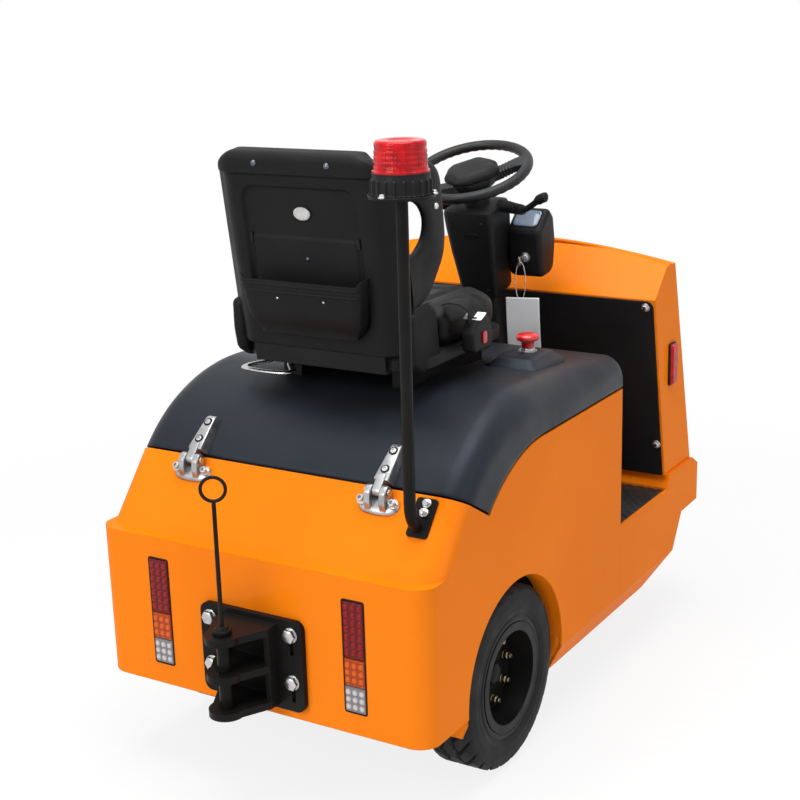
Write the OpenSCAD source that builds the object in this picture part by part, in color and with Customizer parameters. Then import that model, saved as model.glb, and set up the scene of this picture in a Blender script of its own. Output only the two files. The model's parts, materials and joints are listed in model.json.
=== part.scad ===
// Three-wheel electric tow tractor with a tilting battery hood, seat, tow jaw and beacon.
// Lengths are in millimetres. Sketch distances along Y run forward from the rear face.

/* [Body] */
// Width across the side panels
body_w = 760; // [720:1:800]
// Length from the rear face to the bumper
body_l = 1335; // [1325:1:1360]
// Sheet thickness of the welded body
wall = 6; // [4:0.5:8]
// Height of the lower edge behind the rear wheels
rear_z = 192; // [180:1:205]
// Height of the ledge above the rear face
band_z = 503; // [495:1:512]
// Depth of that ledge
ledge = 28; // [20:1:32]
// Radius of the rear face's upright corners
band_r = 45; // [35:1:60]
// Angle of the upper rear panel from level
slope = 50; // [48:0.5:52]
// Radius of the upper rear panel's corners
slope_r = 48; // [42:1:56]
// Height of the side skirts' lower edge
skirt_z = 125; // [115:1:135]
// Height of the fold where the skirts turn inward
fold_z = 178; // [170:1:190]
// How far the skirts turn inward
fold_in = 25; // [15:1:30]
// Height of the door sill
sill_z = 347; // [342:1:352]
// Distance to the step's rear edge
step_y = 857; // [850:1:865]
// Radius of the wheel arches
arch_r = 202; // [200:1:206]

/* [Hood] */
// Height of the hood's front edge
hood_z = 740; // [730:1:750]
// Fall of the hood's top towards the front
hood_fall = 4; // [3:0.1:4.5]
// Radius where the hood's back rolls into its top
hood_r = 390; // [370:1:400]
// Radius along the hood's long edges
hood_edge_r = 70; // [55:1:75]
// Wall of the moulded hood
hood_wall = 6; // [4:0.5:8]
// Height of the level side seam
seam_z = 667; // [660:1:672]
// Fall of the seam from the back to its low corner point
seam_fall = 31; // [28:0.5:34]
// Gap at the hood's seam
seam_gap = 5; // [5:0.5:7]
// Distance to the seam's low corner point
tip_y = 239; // [232:1:246]
// Height of the seam's low corner point
tip_z = 573; // [566:1:580]
// Sideways place of the hood hinges
hinge_x = 217; // [205:1:225]
// Diameter of the hinge pins
hinge_pin_d = 9; // [8:0.5:10]

/* [Cowl] */
// Inset of the cowl from the side panels
cowl_in = 8; // [6:1:14]
// Height of the cowl's base
cowl_z = 380; // [374:1:386]
// Height of the cowl's crown
cowl_top_z = 926; // [915:1:935]
// Drop of the crown at the sides
cowl_drop = 40; // [30:1:50]
// Distance to the front of the cowl's base
cowl_front_y = 1300; // [1290:1:1310]

/* [Wheels] */
// Outside diameter of the rear tyres
tyre_d = 380; // [370:1:386]
// Width of the rear tyres
tyre_w = 114; // [105:1:118]
// Distance from the rear face to the rear axle
axle_y = 351; // [345:1:356]
// Inset of the tyre's face from the side panel
tyre_in = 10; // [8:1:14]
// Outside diameter of the front tyre
front_d = 290; // [280:1:296]
// Width of the front tyre
front_w = 100; // [90:1:106]
// Distance from the rear face to the steering axis
steer_y = 1070; // [1062:1:1078]
// Radial running clearance of shafts
run = 0.05; // [0.03:0.01:0.08]

/* [Steering] */
// Diameter of the steering wheel
wheel_d = 280; // [260:1:320]
// Thickness of the steering wheel's rim
wheel_rim = 25; // [20:1:28]
// Height of the steering wheel's centre
wheel_z = 1115; // [1105:1:1130]
// Distance to the steering wheel's centre
wheel_y = 880; // [870:1:890]
// Rake of the steering shaft from upright
wheel_rake = 21; // [19:0.5:23]
// Rake of the column housing from upright
column_rake = 14; // [13:0.5:15]

/* [Seat] */
// Width of the cushion
seat_w = 450; // [430:1:464]
// Distance to the cushion's front
seat_front_y = 655; // [645:1:665]
// Height of the cushion's underside
seat_z = 838; // [832:1:845]
// Thickness of the cushion
cushion_t = 76; // [65:1:85]
// Height of the backrest along its lean
back_h = 428; // [415:1:435]
// Lean of the backrest
lean = 8; // [7:0.1:9]
// Distance to the foot of the backrest
back_y = 308; // [302:1:314]
// How far the backrest's shell reaches behind that line
back_deep = 55; // [48:1:60]

/* [Tow jaw] */
// Width of the jaw's mounting plate
jaw_plate_w = 236; // [220:1:250]
// Height of the jaw's mounting plate
jaw_plate_h = 184; // [178:1:195]
// Reach of the jaw behind the rear face
jaw_reach = 130; // [122:1:140]
// Width of the jaw's round noses
jaw_w = 68; // [62:1:76]
// Diameter of the tow pin
pin_d = 25; // [22:1:28]
// Height of the lowest jaw plate
jaw_z = 224; // [218:1:230]
// Clear height of each jaw mouth
jaw_gap = 60; // [56:1:64]
// Thickness of the jaw's plates
jaw_t = 14; // [12:1:16]

/* [Beacon] */
// Diameter of the beacon pole
pole_d = 22; // [18:1:25]
// Height of the pole's top
pole_z = 1188; // [1150:1:1200]
// Diameter of the beacon's lens
lens_d = 93; // [85:1:98]
// Height of the beacon's lens
lens_h = 62; // [55:1:70]

/* [Hidden] */
$fn = 64;
half_w = body_w / 2;
mid_y = (body_l - jaw_reach) / 2;
axle_z = tyre_d / 2;
front_z = front_d / 2;
tyre_x = half_w - tyre_in - tyre_w / 2;
rim_d = 0.595 * tyre_d;
back_w = seat_w - 42;
pole_x = half_w - 68;
into = [0, sin(slope), -cos(slope)];
up_slope = [0, cos(slope), sin(slope)];

paint = "#f08418";
satin = "#26282c";
soft = "#1d1e20";
steel = "#a8adb3";
iron = "#2a2b2d";

function unit(v) = v / norm(v);

// Moves the sketch's rear-face datum so that the tractor is centred on the frame
module placed() translate([0, -mid_y, 0]) children();

// Carries a (y, z) outline across the tractor between two x values
module across(x0, x1) translate([x0, 0, 0]) rotate([90, 0, 90]) linear_extrude(x1 - x0) children();

// Carries an (x, z) outline forward between two y values
module forward(y0, y1) translate([0, y1, 0]) rotate([90, 0, 0]) linear_extrude(y1 - y0) children();

// Outline with the corner at each point rounded to its own radius, 0 for a sharp one
module rounded(points, radii) {
    n = len(points);
    difference() {
        polygon(points);
        for (i = [0:n - 1])
            if (radii[i] > 0) corner(points[(i + n - 1) % n], points[i], points[(i + 1) % n], radii[i]);
    }
}

// What a rounding takes off the corner at p, between its neighbours a and b
module corner(a, p, b, r) {
    u = unit(a - p);
    v = unit(b - p);
    turn = acos(u * v) / 2;
    centre = p + unit(u + v) * r / sin(turn);
    difference() {
        polygon([p + u * r / tan(turn), centre, p + v * r / tan(turn), p - unit(u + v) * r]);
        translate(centre) circle(r);
    }
}

// Rectangle with all corners rounded, centred on the origin
// Points of an outline whose corners are eased by short steps along an arc of the given radius
function eased(points, radii) = let(n = len(points)) [for (i = [0:n - 1])
    each (radii[i] > 0 ? arc_steps(points[(i + n - 1) % n], points[i], points[(i + 1) % n], radii[i])
        : [points[i]])];
function arc_steps(a, p, b, r) = let(u = unit(a - p), v = unit(b - p), turn = acos(u * v) / 2,
    c = p + unit(u + v) * r / sin(turn), d0 = p + u * r / tan(turn) - c, d1 = p + v * r / tan(turn) - c,
    whole = 180 - 2 * turn) [for (i = [0:ease_n]) let(t = i / ease_n)
        c + (sin((1 - t) * whole) * d0 + sin(t * whole) * d1) / sin(whole)];
ease_n = 6;
module plate(w, h, r)
    rounded([[-w / 2, -h / 2], [w / 2, -h / 2], [w / 2, h / 2], [-w / 2, h / 2]], [r, r, r, r]);

// Both sides of the tractor
module both_sides() {
    children();
    mirror([1, 0, 0]) children();
}

// Plan of the body's back with rounded rear corners, inset by t. The plan is a little wider than the
// body, so that the roundings meet the flanks at a slight angle.
band_over = 1;
slope_over = 2;
module back_plan(t, r, over) {
    x = half_w - t + over;
    rounded([[-x, 0], [x, 0], [x, 1300], [-x, 1300]], [r - t, r - t, 0, 0]);
}

// Prism behind the slope, its rear face on the slope and inset by t
module slope_prism(t) translate([0, ledge, band_z] + into * t) rotate([slope - 90, 0, 0])
    translate([0, 0, -80]) linear_extrude(1000) back_plan(t, slope_r, slope_over);

// Heights and distances on the hood's side outline, inset by t
function slope_y(z, t) = ledge + t / sin(slope) + (z - band_z) / tan(slope);
function top_z(y, t) = hood_z - t / cos(hood_fall) + (step_y - y) * tan(hood_fall);
function brow_y(t) = (top_z(0, t) - band_z + (ledge + t / sin(slope)) * tan(slope))
    / (tan(slope) + tan(hood_fall));

// Region of the side view above the hood's seam, raised by dz: a line down to the low corner
// point, an arc up from it and a level run forward
seam_arc_r = 328;
seam_arc_y = tip_y + sqrt(pow(seam_arc_r, 2) - pow(seam_arc_r - seam_z + tip_z, 2));
module above_seam(dz) translate([0, dz]) difference() {
    polygon([[tip_y - 400, 1000], [tip_y - 400, tip_z + 400 * tan(seam_fall)],
        [tip_y + 60, tip_z - 60 * tan(seam_fall)], [seam_arc_y, seam_z - 0.5], [2000, seam_z - 0.5], [2000, 1000]]);
    translate([seam_arc_y, seam_z - seam_arc_r]) circle(seam_arc_r, $fn = 128);
}

// What the skirts' inward fold takes off the right flank, inset by t
module fold_off(t) {
    low = [half_w - t - fold_in, skirt_z - t];
    high = [half_w - t, fold_z];
    more = (high - low) / 5;
    polygon([low - more, high + more, [body_w, (high + more).y], [body_w, (low - more).y]]);
}

// Outside or, inset by t, inside of the rear body
module rear_form(t) difference() {
    intersection() {
        translate([-half_w + t, -10, skirt_z - t])
            cube([body_w - 2 * t, step_y + 10 - (t > 0 ? wall : 0), 1000]);
        union() {
            translate([0, t, 0]) linear_extrude(band_z - t) back_plan(t, band_r, band_over);
            intersection() {
                slope_prism(t);
                translate([-body_w, 0, band_z - t - 1]) cube([2 * body_w, 1200, 400]);
            }
        }
    }
    both_sides() forward(-20, step_y + 10) fold_off(t);
}

// Round space over a rear wheel, out to radius r, from the flank inwards by deep
module arch_space(r, deep) both_sides() translate([half_w - deep, axle_y, axle_z + 10]) rotate([0, 90, 0])
    cylinder(r = r, h = deep + 20, $fn = 128);

arch_flange = 42;
module body_shell() placed() color(paint) difference() {
    union() {
        difference() {
            rear_form(0);
            rear_form(wall);
        }
        intersection() {
            arch_space(arch_r + wall, wall + arch_flange);
            translate([-half_w + 1, 0, axle_z + 10]) cube([body_w - 2, step_y - 1, 400]);
        }
    }
    across(-body_w, body_w) above_seam(-seam_gap / 2);
    across(-body_w, body_w) polygon([[-50, -50], [axle_y, -50], [axle_y, rear_z], [-50, rear_z]]);
    arch_space(arch_r, wall + arch_flange + 20);
    lamp_slots();
}

// Outline of the step and bumper seen from the side, inset by t: distances behind the bumper's face
// and heights of its corners
keel = [287, 156, 102];
bumper_z = [263, 358];
dash_foot = [185, 200];
module step_outline(t) polygon([[step_y, skirt_z - t], [body_l - keel[0], skirt_z - t],
    [body_l - keel[1], fold_z - t], [body_l - keel[2], bumper_z[0] - 2], [body_l - t, bumper_z[0] + t],
    [body_l - t, bumper_z[1] - t / 2], [cowl_front_y - t, cowl_z - t], [body_l - dash_foot[0], cowl_z - t],
    [body_l - dash_foot[1], sill_z - t], [step_y, sill_z - t]]);

module step_frame() placed() color(paint) difference() {
    across(-half_w, half_w) step_outline(0);
    both_sides() forward(step_y - 10, body_l + 10) fold_off(0);
    difference() {
        across(-half_w + wall, half_w - wall) difference() {
            union() {
                step_outline(wall);
                polygon([[step_y - 1, skirt_z - wall], [body_l - keel[2], skirt_z - wall],
                    [body_l - keel[2], floor_z - 40], [step_y - 1, floor_z - 40]]);
            }
            translate([step_y - 1, floor_z - wall]) square([mat_l + 11, 20]);
        }
        both_sides() forward(step_y - 10, body_l + 10) fold_off(wall);
        translate([0, steer_y, floor_z - wall - 20]) cylinder(d = 90, h = 40);
    }
    mat_pocket(0);
    translate([0, steer_y, 0]) cylinder(d = king_d + 2 * run, h = 500);
}

// Recess of the step that takes the mat
mat_t = 7;
mat_l = 279;
floor_z = sill_z - mat_t;
king_d = 40;
module mat_pocket(gap) translate([-half_w + wall + gap, step_y - (gap > 0 ? -1 : 1), floor_z])
    cube([body_w - 2 * wall - 2 * gap, mat_l + (gap > 0 ? -1 - gap : 1), mat_t + (gap > 0 ? 0 : 1)]);

module floor_mat() placed() color(soft) difference() {
    mat_pocket(0.5);
    translate([0, steer_y, 0]) cylinder(d = 150, h = 500);
}

// Floor of the battery compartment, which carries the rear axle, with a wall beside each wheel
tray_z = 252;
tray_t = 8;
well_x = half_w - tyre_in - tyre_w - 26;
well_t = 4;
module chassis_tray() placed() color(iron) difference() {
    union() {
        difference() {
            intersection() {
                translate([-half_w, 20, tray_z]) cube([body_w, step_y - 20 - wall, tray_t]);
                rear_form(wall);
            }
            arch_space(arch_r + wall + 1, half_w - well_x);
        }
        for (side = [-1, 1]) translate([side * well_x - well_t / 2, axle_y - arch_r, skirt_z + 10])
            cube([well_t, 2 * arch_r, axle_z + arch_r - skirt_z]);
    }
    translate([0, axle_y, axle_z]) rotate([0, 90, 0]) cylinder(d = axle_d + 1, h = body_w, center = true);
}

battery_h = hood_z - tray_z - tray_t - 110;
module battery() placed() color("#3b3f45") translate([-well_x + 10, 150, tray_z + tray_t])
    cube([2 * well_x - 20, step_y - 217, battery_h]);

// Axle tube with the drive motor in the middle and a seat up to the tray at each side
axle_d = 76;
hub_d = 60;
module drive_axle() placed() color(iron) translate([0, axle_y, axle_z]) {
    difference() {
        union() {
            rotate([0, 90, 0]) cylinder(d = axle_d, h = 2 * (well_x + 6), center = true);
            rotate([0, 90, 0]) cylinder(d = hub_d, h = 2 * (half_w - 62), center = true);
            rotate([0, 90, 0]) cylinder(d = 150, h = 150, center = true);
            translate([40, -150, 0]) rotate([90, 0, 0]) cylinder(d = 110, h = 60);
            translate([40, -150, 0]) rotate([-90, 0, 0]) cylinder(d = 110, h = 150);
            for (side = [-1, 1]) translate([side * 170 - 25, -45, 0]) cube([50, 90, tray_z - axle_z]);
        }
        translate([-250, -250, tray_z - axle_z]) cube([500, 500, 200]);
    }
}

// Cowl: side outline leaning back, crowned front outline, inset by t
cowl_rear_y = 1137;
cowl_lip_y = 1054;
cowl_lip_z = 820;
cowl_brow_y = 1162;
panel_rake = atan((cowl_rear_y - cowl_lip_y) / (cowl_lip_z - cowl_z));
function cowl_half() = half_w - cowl_in;
module cowl_form(t) {
    x = cowl_half() - t;
    crown_r = (pow(cowl_half(), 2) + pow(cowl_drop, 2)) / (2 * cowl_drop);
    intersection() {
        across(-x, x) polygon([[cowl_rear_y + t * (1 + tan(panel_rake)), cowl_z - t],
            [cowl_front_y - t, cowl_z - t], [cowl_brow_y - t, cowl_top_z - t],
            [cowl_lip_y + t * (1 + tan(panel_rake)), cowl_lip_z - t]]);
        translate([0, 1000, cowl_top_z - t - crown_r]) rotate([-90, 0, 0])
            cylinder(r = crown_r, h = 400, $fn = 256);
    }
}

module front_cowl() placed() color(paint) difference() {
    cowl_form(0);
    cowl_form(cowl_wall);
    panel_slab(-20, 40, flange);
    lamp_seats(0.3);
}

// Rear side of the cowl: an opening framed by a flange, with the inner panel seated behind it
panel_h = 425;
panel_t = 5;
panel_side = 9;
flange = 12;
cowl_wall = 5;
module panel_slab(depth, t, inset) {
    x = cowl_half() - panel_side - inset;
    translate([-x, cowl_rear_y, cowl_z]) rotate([panel_rake, 0, 0])
        translate([0, depth, 10 + inset]) cube([2 * x, t, panel_h - 1.4 * inset]);
}

module inner_panel() placed() color(soft) panel_slab(cowl_wall * cos(panel_rake) + 0.1, panel_t, 0);

// Round headlamps in the cowl's front face
lamp_x = 210;
lamp_z = 640;
lamp_d = 110;
front_rake = atan((cowl_front_y - cowl_brow_y) / (cowl_top_z - cowl_z));
function front_face_y(z) = cowl_front_y - (z - cowl_z) * tan(front_rake);
module lamp_seats(gap) for (side = [-1, 1])
    translate([side * lamp_x, front_face_y(lamp_z), lamp_z]) rotate([front_rake - 90, 0, 0])
        cylinder(d = lamp_d + 2 * gap, h = 80, center = true);

module headlamps() placed() color("#dfe6ea") for (side = [-1, 1])
    translate([side * lamp_x, front_face_y(lamp_z), lamp_z]) rotate([front_rake - 90, 0, 0]) {
        translate([0, 0, -40]) cylinder(d = lamp_d, h = 44);
        translate([0, 0, 0.5]) difference() {
            cylinder(d = lamp_d + 16, h = 10);
            translate([0, 0, 4]) cylinder(d = lamp_d - 6, h = 10);
        }
    }

// Side marker lamp on each flank of the cowl
module marker_lamps() placed() color("#c8201c") both_sides()
    translate([cowl_half(), 1170, 648]) rotate([0, 90, 0]) linear_extrude(7) plate(96, 22, 4);

// Steering column: raked housing on a tube that stands on the floor, bored for the wheel's shaft
column_half = 60;
shaft_d = 24;
module at_wheel_centre(rake) translate([0, wheel_y, wheel_z]) rotate([rake, 0, 0]) children();
module steering_column() placed() color(soft) difference() {
    union() {
        at_wheel_centre(column_rake) {
            translate([0, 0, -290]) linear_extrude(215) plate(2 * column_half, 104, 20);
            translate([0, 0, -900]) cylinder(d = 64, h = 620);
        }
        at_wheel_centre(wheel_rake) translate([0, 0, -110]) cylinder(d = 58, h = 66);
    }
    at_wheel_centre(wheel_rake) translate([0, 0, -130]) cylinder(d = shaft_d + 2 * run, h = 200);
    translate([-200, step_y, sill_z - mat_t - 300]) cube([400, 400, 300]);
}

// Steering wheel: rim, three spokes, domed pad and its shaft
module steering_wheel() placed() color(soft) at_wheel_centre(wheel_rake) {
    rotate_extrude($fn = 96) translate([wheel_d / 2 - wheel_rim / 2, 0]) circle(d = wheel_rim, $fn = 32);
    for (a = [90, 210, 330]) rotate([0, 0, a]) translate([20, -13, -16])
        cube([wheel_d / 2 - wheel_rim - 16, 26, 9]);
    translate([0, 0, -36]) cylinder(d = 84, h = 32);
    translate([0, 0, -120]) cylinder(d = shaft_d, h = 90);
}

// Instrument pod on the right of the column
pod_gap = 0.3;
pod_w = 84;
module at_pod() translate([column_half + pod_gap, wheel_y + 75, wheel_z - 247]) rotate([8, 0, 0]) children();
module instrument_pod() placed() color(soft) at_pod() across(0, pod_w)
    rounded([[0, 0], [80, 0], [96, 120], [64, 152], [0, 140]], [16, 16, 20, 20, 20]);

// Direction stalks under the wheel
module control_stalks() placed() color(soft) at_wheel_centre(column_rake)
    for (side = [-1, 1]) translate([side * (column_half + pod_gap), 10, -96]) rotate([0, side * 90, 0]) {
        cylinder(d = 26, h = 40);
        cylinder(d = 10, h = 120);
        translate([0, 0, 118]) cylinder(d = 20, h = 36);
    }

module ignition_key() placed() color(steel) at_pod() translate([pod_w / 2, -pod_gap, 40]) {
    rotate([90, 0, 0]) cylinder(d = 22, h = 14);
    translate([-2, -44, -12]) cube([4, 32, 24]);
}

module pedals() placed() color(iron) for (x = [70, 170]) translate([x + 40, 1010, sill_z]) {
    translate([-35, 0, 30]) rotate([40, 0, 0]) cube([70, 110, 10]);
    translate([-10, 30, 0]) cube([20, 20, 60]);
}

// Lamp columns let into the rear face: name, bottom and top heights
tail_x = 226;
tail_w = 45;
tail_z = [238, 290, 346, 459];
lamp_deep = 14;
lamp_gap = 0.3;
module lamp_slots() both_sides() translate([tail_x - tail_w / 2 - lamp_gap, -1, tail_z[0] - lamp_gap])
    cube([tail_w + 2 * lamp_gap, 40, tail_z[3] - tail_z[0] + 2 * lamp_gap]);
module tail_lens(i) both_sides() translate([tail_x - tail_w / 2, -3, tail_z[i] + 0.3])
    cube([tail_w, lamp_deep, tail_z[i + 1] - tail_z[i] - 0.6]);
module tail_lamps_red() placed() color("#c8181c") tail_lens(2);
module tail_lamps_amber() placed() color("#e88a1c") tail_lens(1);
module tail_lamps_clear() placed() color("#d8d6d8") tail_lens(0);

// Tow jaw: a bolted plate with a slot under each bolt, three plates that narrow to round noses, and
// two upright webs that close their sides
jaw_y = -jaw_reach + jaw_w / 2;
jaw_levels = [0, 1, 2];
jaw_base_t = 12;
jaw_foot = 126;
web_t = 12;
web_l = 28;
bolt_x = 94;
bolt_d = 16;
bolt_z = [270, 366];
slot_l = 38;
function jaw_plate_z(i) = jaw_z + i * (jaw_gap + jaw_t);
module jaw_plan() {
    translate([0, jaw_y]) circle(d = jaw_w);
    polygon([[-jaw_w / 2 + 1, jaw_y], [jaw_w / 2 - 1, jaw_y], [jaw_foot / 2, -jaw_base_t - web_l],
        [jaw_foot / 2, -jaw_base_t + 1], [-jaw_foot / 2, -jaw_base_t + 1],
        [-jaw_foot / 2, -jaw_base_t - web_l]]);
}
module tow_jaw() placed() color(iron) difference() {
    union() {
        translate([0, 0, jaw_z - 11 + jaw_plate_h / 2]) forward(-jaw_base_t, 0)
            plate(jaw_plate_w, jaw_plate_h, 18);
        for (i = jaw_levels) translate([0, 0, jaw_plate_z(i)]) linear_extrude(jaw_t) jaw_plan();
        for (side = [-1, 1]) translate([side * (jaw_foot - web_t) / 2 - web_t / 2, -jaw_base_t - web_l, jaw_z + 2])
            cube([web_t, web_l + 1, jaw_plate_z(2) - jaw_z]);
    }
    translate([0, jaw_y, 0]) cylinder(d = pin_d + 2 * run, h = 600);
    for (side = [-1, 1], z = bolt_z) translate([side * bolt_x - bolt_d / 4, -50, z - slot_l])
        cube([bolt_d / 2, 60, slot_l]);
}

// Tow pin with its collar, lifting rod and ring
pin_top = jaw_plate_z(2) + jaw_t;
rod_h = 262;
ring_d = 47;
module tow_pin() placed() color(iron) translate([0, jaw_y, 0]) {
    translate([0, 0, jaw_z - 4]) cylinder(d = pin_d, h = pin_top - jaw_z + 10);
    translate([0, 0, pin_top + 0.4]) cylinder(d = 36, h = 16);
    translate([0, 0, pin_top + 10]) cylinder(d = 8, h = rod_h - 10);
    translate([0, 0, pin_top + rod_h + ring_d / 2 - 4]) rotate([90, 0, 32]) rotate_extrude()
        translate([ring_d / 2 - 3, 0]) circle(d = 6, $fn = 24);
}

// Hinge geometry: the pin runs across behind the slope at the hood's rear seam
hinge_out = 20;
hinge_z = 621;
hinge_pos = [0, slope_y(hinge_z, 0), hinge_z] - into * hinge_out;
module at_hinges() for (side = [-1, 1]) translate([side * hinge_x, hinge_pos.y, hinge_pos.z])
    rotate([slope - 90, 0, 0]) children();

// Lugs on a broad foot, with the pin across them
lug_gap = 32;
lug_t = 9;
foot_w = 76;
module hinge_lugs() placed() color(steel) at_hinges() {
    difference() {
        union() {
            translate([-foot_w / 2, hinge_out - 9, -38]) cube([foot_w, 9, 30]);
            translate([0, hinge_out - 9, -38]) rotate([-90, 0, 0]) cylinder(d = 50, h = 9);
            for (side = [-1, 1]) translate([side * (lug_gap + lug_t) / 2 - lug_t / 2, 0, 0]) {
                rotate([0, 90, 0]) cylinder(d = 21, h = lug_t);
                translate([0, -8, -26]) cube([lug_t, hinge_out + 8, 26]);
            }
        }
        translate([-lug_gap / 2, -20, -16]) cube([lug_gap, 60, 40]);
    }
    translate([-lug_gap / 2 - lug_t - 3, 0, 0]) rotate([0, 90, 0])
        cylinder(d = hinge_pin_d, h = lug_gap + 2 * lug_t + 6);
}

// Wedge arms from the pins up to the hood, which they meet above the seam
arm_foot = 24;
arm_l = 98;
arm_w = 36;
module hinge_arms() placed() color(steel) difference() {
    at_hinges() difference() {
        union() {
            translate([-lug_gap / 2 + 0.5, 0, 0]) rotate([0, 90, 0]) cylinder(d = 19, h = lug_gap - 1);
            across(-lug_gap / 2 + 0.5, lug_gap / 2 - 0.5)
                polygon([[-8, 0], [-6, arm_foot], [hinge_out - 3, arm_foot], [hinge_out - 3, 6], [8, 0]]);
            across(-arm_w / 2, arm_w / 2) polygon([[-6, arm_foot - 4], [9, arm_l], [hinge_out + 24, arm_l],
                [hinge_out + 8, arm_foot], [hinge_out - 3, arm_foot], [hinge_out - 3, arm_foot - 4]]);
        }
        translate([-30, 0, 0]) rotate([0, 90, 0]) cylinder(d = hinge_pin_d + 2 * run, h = 60);
    }
    hood_form(0);
}

// Outside or, inset by t, inside of the hood above its seam
module hood_form(t) {
    by = brow_y(t);
    front = step_y - t;
    intersection() {
        across(-half_w, half_w) rounded([[slope_y(300, t), 300], [front, 300], [front, top_z(front, t)],
            [by, top_z(by, t)]], [0, 0, 24, hood_r - t]);
        slope_prism(t);
        translate([0, step_y, hood_z - t]) rotate([-hood_fall, 0, 0]) translate([0, -1000, 0])
            forward(0, 1100) rounded([[-half_w + t, -400], [half_w - t, -400], [half_w - t, 0],
                [-half_w + t, 0]], [0, 0, hood_edge_r - t, hood_edge_r - t]);
    }
}

// Raised pad of the emergency stop on the hood, its sides sloping in
stop_pos = [245, 668];
stop_z = 776;
pad_foot = 116;
pad_top = 78;
module pad_side() polygon([[-pad_foot / 2, -60], [pad_foot / 2, -60], [pad_foot / 2, -22], [pad_top / 2, 0],
    [-pad_top / 2, 0], [-pad_foot / 2, -22]]);
module hood() placed() color(satin) {
    intersection() {
        difference() {
            hood_form(0);
            hood_form(hood_wall);
        }
        across(-half_w, half_w) above_seam(seam_gap / 2);
    }
    difference() {
        translate([stop_pos.x, stop_pos.y, stop_z]) intersection() {
            across(-pad_foot, pad_foot) pad_side();
            forward(-pad_foot, pad_foot) pad_side();
        }
        hood_form(hood_wall / 2);
    }
}

module stop_button() placed() color("#d01818") translate([stop_pos.x, stop_pos.y, stop_z]) {
    cylinder(d = 24, h = 24);
    translate([0, 0, 22]) cylinder(d1 = 34, d2 = 42, h = 8);
    translate([0, 0, 30]) cylinder(d1 = 42, d2 = 34, h = 6);
}

// Seat: rails on the hood, pan, cushion and a leaning backrest
pan_t = 22;
shell_t = 22;
side_y = -18;
shell_z = 40;
rear_half = back_w / 2 - 44;
pan_y = back_y - back_deep + 16;
rail_x = 130;
rail_w = 44;
rail_top = seat_z - 38;
module seat_base() placed() color(iron) difference() {
    union() {
        for (side = [-1, 1]) translate([side * rail_x - rail_w / 2, back_y + 40, hood_z - 40])
            cube([rail_w, seat_front_y - back_y - 57, rail_top - hood_z + 40]);
        translate([-rail_x - 20, back_y + 50, rail_top - 8])
            cube([2 * rail_x + 40, seat_front_y - back_y - 87, seat_z - pan_t - rail_top + 8]);
    }
    hood_form(0);
}

// Pan with an upright skirt that carries the shell and a cover at each side of the backrest's foot
module seat_pan() placed() color(soft) {
    translate([0, 0, seat_z - pan_t]) linear_extrude(pan_t) rounded([[-rear_half, pan_y], [rear_half, pan_y],
        [seat_w / 2 - 12, back_y], [seat_w / 2 - 12, seat_front_y - 8], [-seat_w / 2 + 12, seat_front_y - 8],
        [-seat_w / 2 + 12, back_y]], [20, 20, 20, 60, 60, 20]);
    at_back() {
        forward(-back_deep + 4, -back_deep + shell_t) translate([-rear_half + 8, 2])
            square([2 * rear_half - 16, shell_z - 2.3]);
        both_sides() across(cover_x, cover_x + cover_t)
            rounded([[side_y + 2, 6], [62, 6], [62, 100], [40, 122], [side_y + 2, 126]], [0, 8, 16, 16, 10]);
    }
}
cover_x = back_w / 2 - 26;
cover_t = 26;

module seat_cushion() placed() color(soft) translate([0, 0, seat_z]) linear_extrude(cushion_t)
    rounded([[-rear_half + 12, back_y - 14], [rear_half - 12, back_y - 14], [cover_x - 6, back_y + 10],
        [cover_x - 6, back_y + 68], [seat_w / 2, back_y + 82], [seat_w / 2, seat_front_y],
        [-seat_w / 2, seat_front_y], [-seat_w / 2, back_y + 82], [-cover_x + 6, back_y + 68],
        [-cover_x + 6, back_y + 10]], [20, 20, 10, 5, 30, 80, 80, 30, 5, 10]);

module at_back() translate([0, back_y, seat_z - pan_t]) rotate([lean, 0, 0]) children();

// Plan of the shell, its sides turning forward, and its outline seen from behind
module shell_plan() polygon(eased([[-rear_half, -back_deep], [rear_half, -back_deep], [back_w / 2, side_y],
    [-back_w / 2, side_y]], [40, 40, 0, 0]));
module shell_hollow() polygon(eased([[-rear_half + 8, -back_deep + shell_t],
    [rear_half - 8, -back_deep + shell_t], [back_w / 2 - 24, side_y + 1], [-back_w / 2 + 24, side_y + 1]],
    [22, 22, 0, 0]));
module back_outline(r) rounded([[-back_w / 2 - 4, 0], [back_w / 2 + 4, 0], [back_w / 2 + 4, back_h + 3],
    [-back_w / 2 - 4, back_h + 3]], [0, 0, r, r]);

recess_z = 74;
recess_t = 6;
cap_h = 50;
cap_t = 8;
module backrest_shell() placed() color(soft) at_back() difference() {
    union() {
        intersection() {
            translate([0, 0, shell_z]) linear_extrude(back_h - shell_z) shell_plan();
            forward(-back_deep - 10, 60) back_outline(60);
        }
        forward(-back_deep - cap_t, -back_deep + 12) translate([0, back_h - cap_h / 2])
            plate(2 * rear_half - 10, cap_h - 2, 16);
    }
    translate([0, 0, -1]) linear_extrude(back_h - shell_t) shell_hollow();
    forward(-back_deep - 1, -back_deep + recess_t) translate([0, (recess_z + back_h - cap_h - 24) / 2])
        plate(2 * rear_half - 60, back_h - cap_h - 24 - recess_z, 25);
}

module backrest_pad() placed() color(soft) at_back() translate([0, 0, cushion_t + pan_t + 8])
    linear_extrude(back_h - shell_t - cushion_t - pan_t - 16)
        polygon(eased([[-rear_half + 16, -back_deep + shell_t + 0.3], [rear_half - 16, -back_deep + shell_t + 0.3],
            [cover_x - 9, side_y + 6], [cover_x - 9, 50], [-cover_x + 9, 50], [-cover_x + 9, side_y + 6]],
            [20, 20, 10, 40, 40, 10]));

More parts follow.
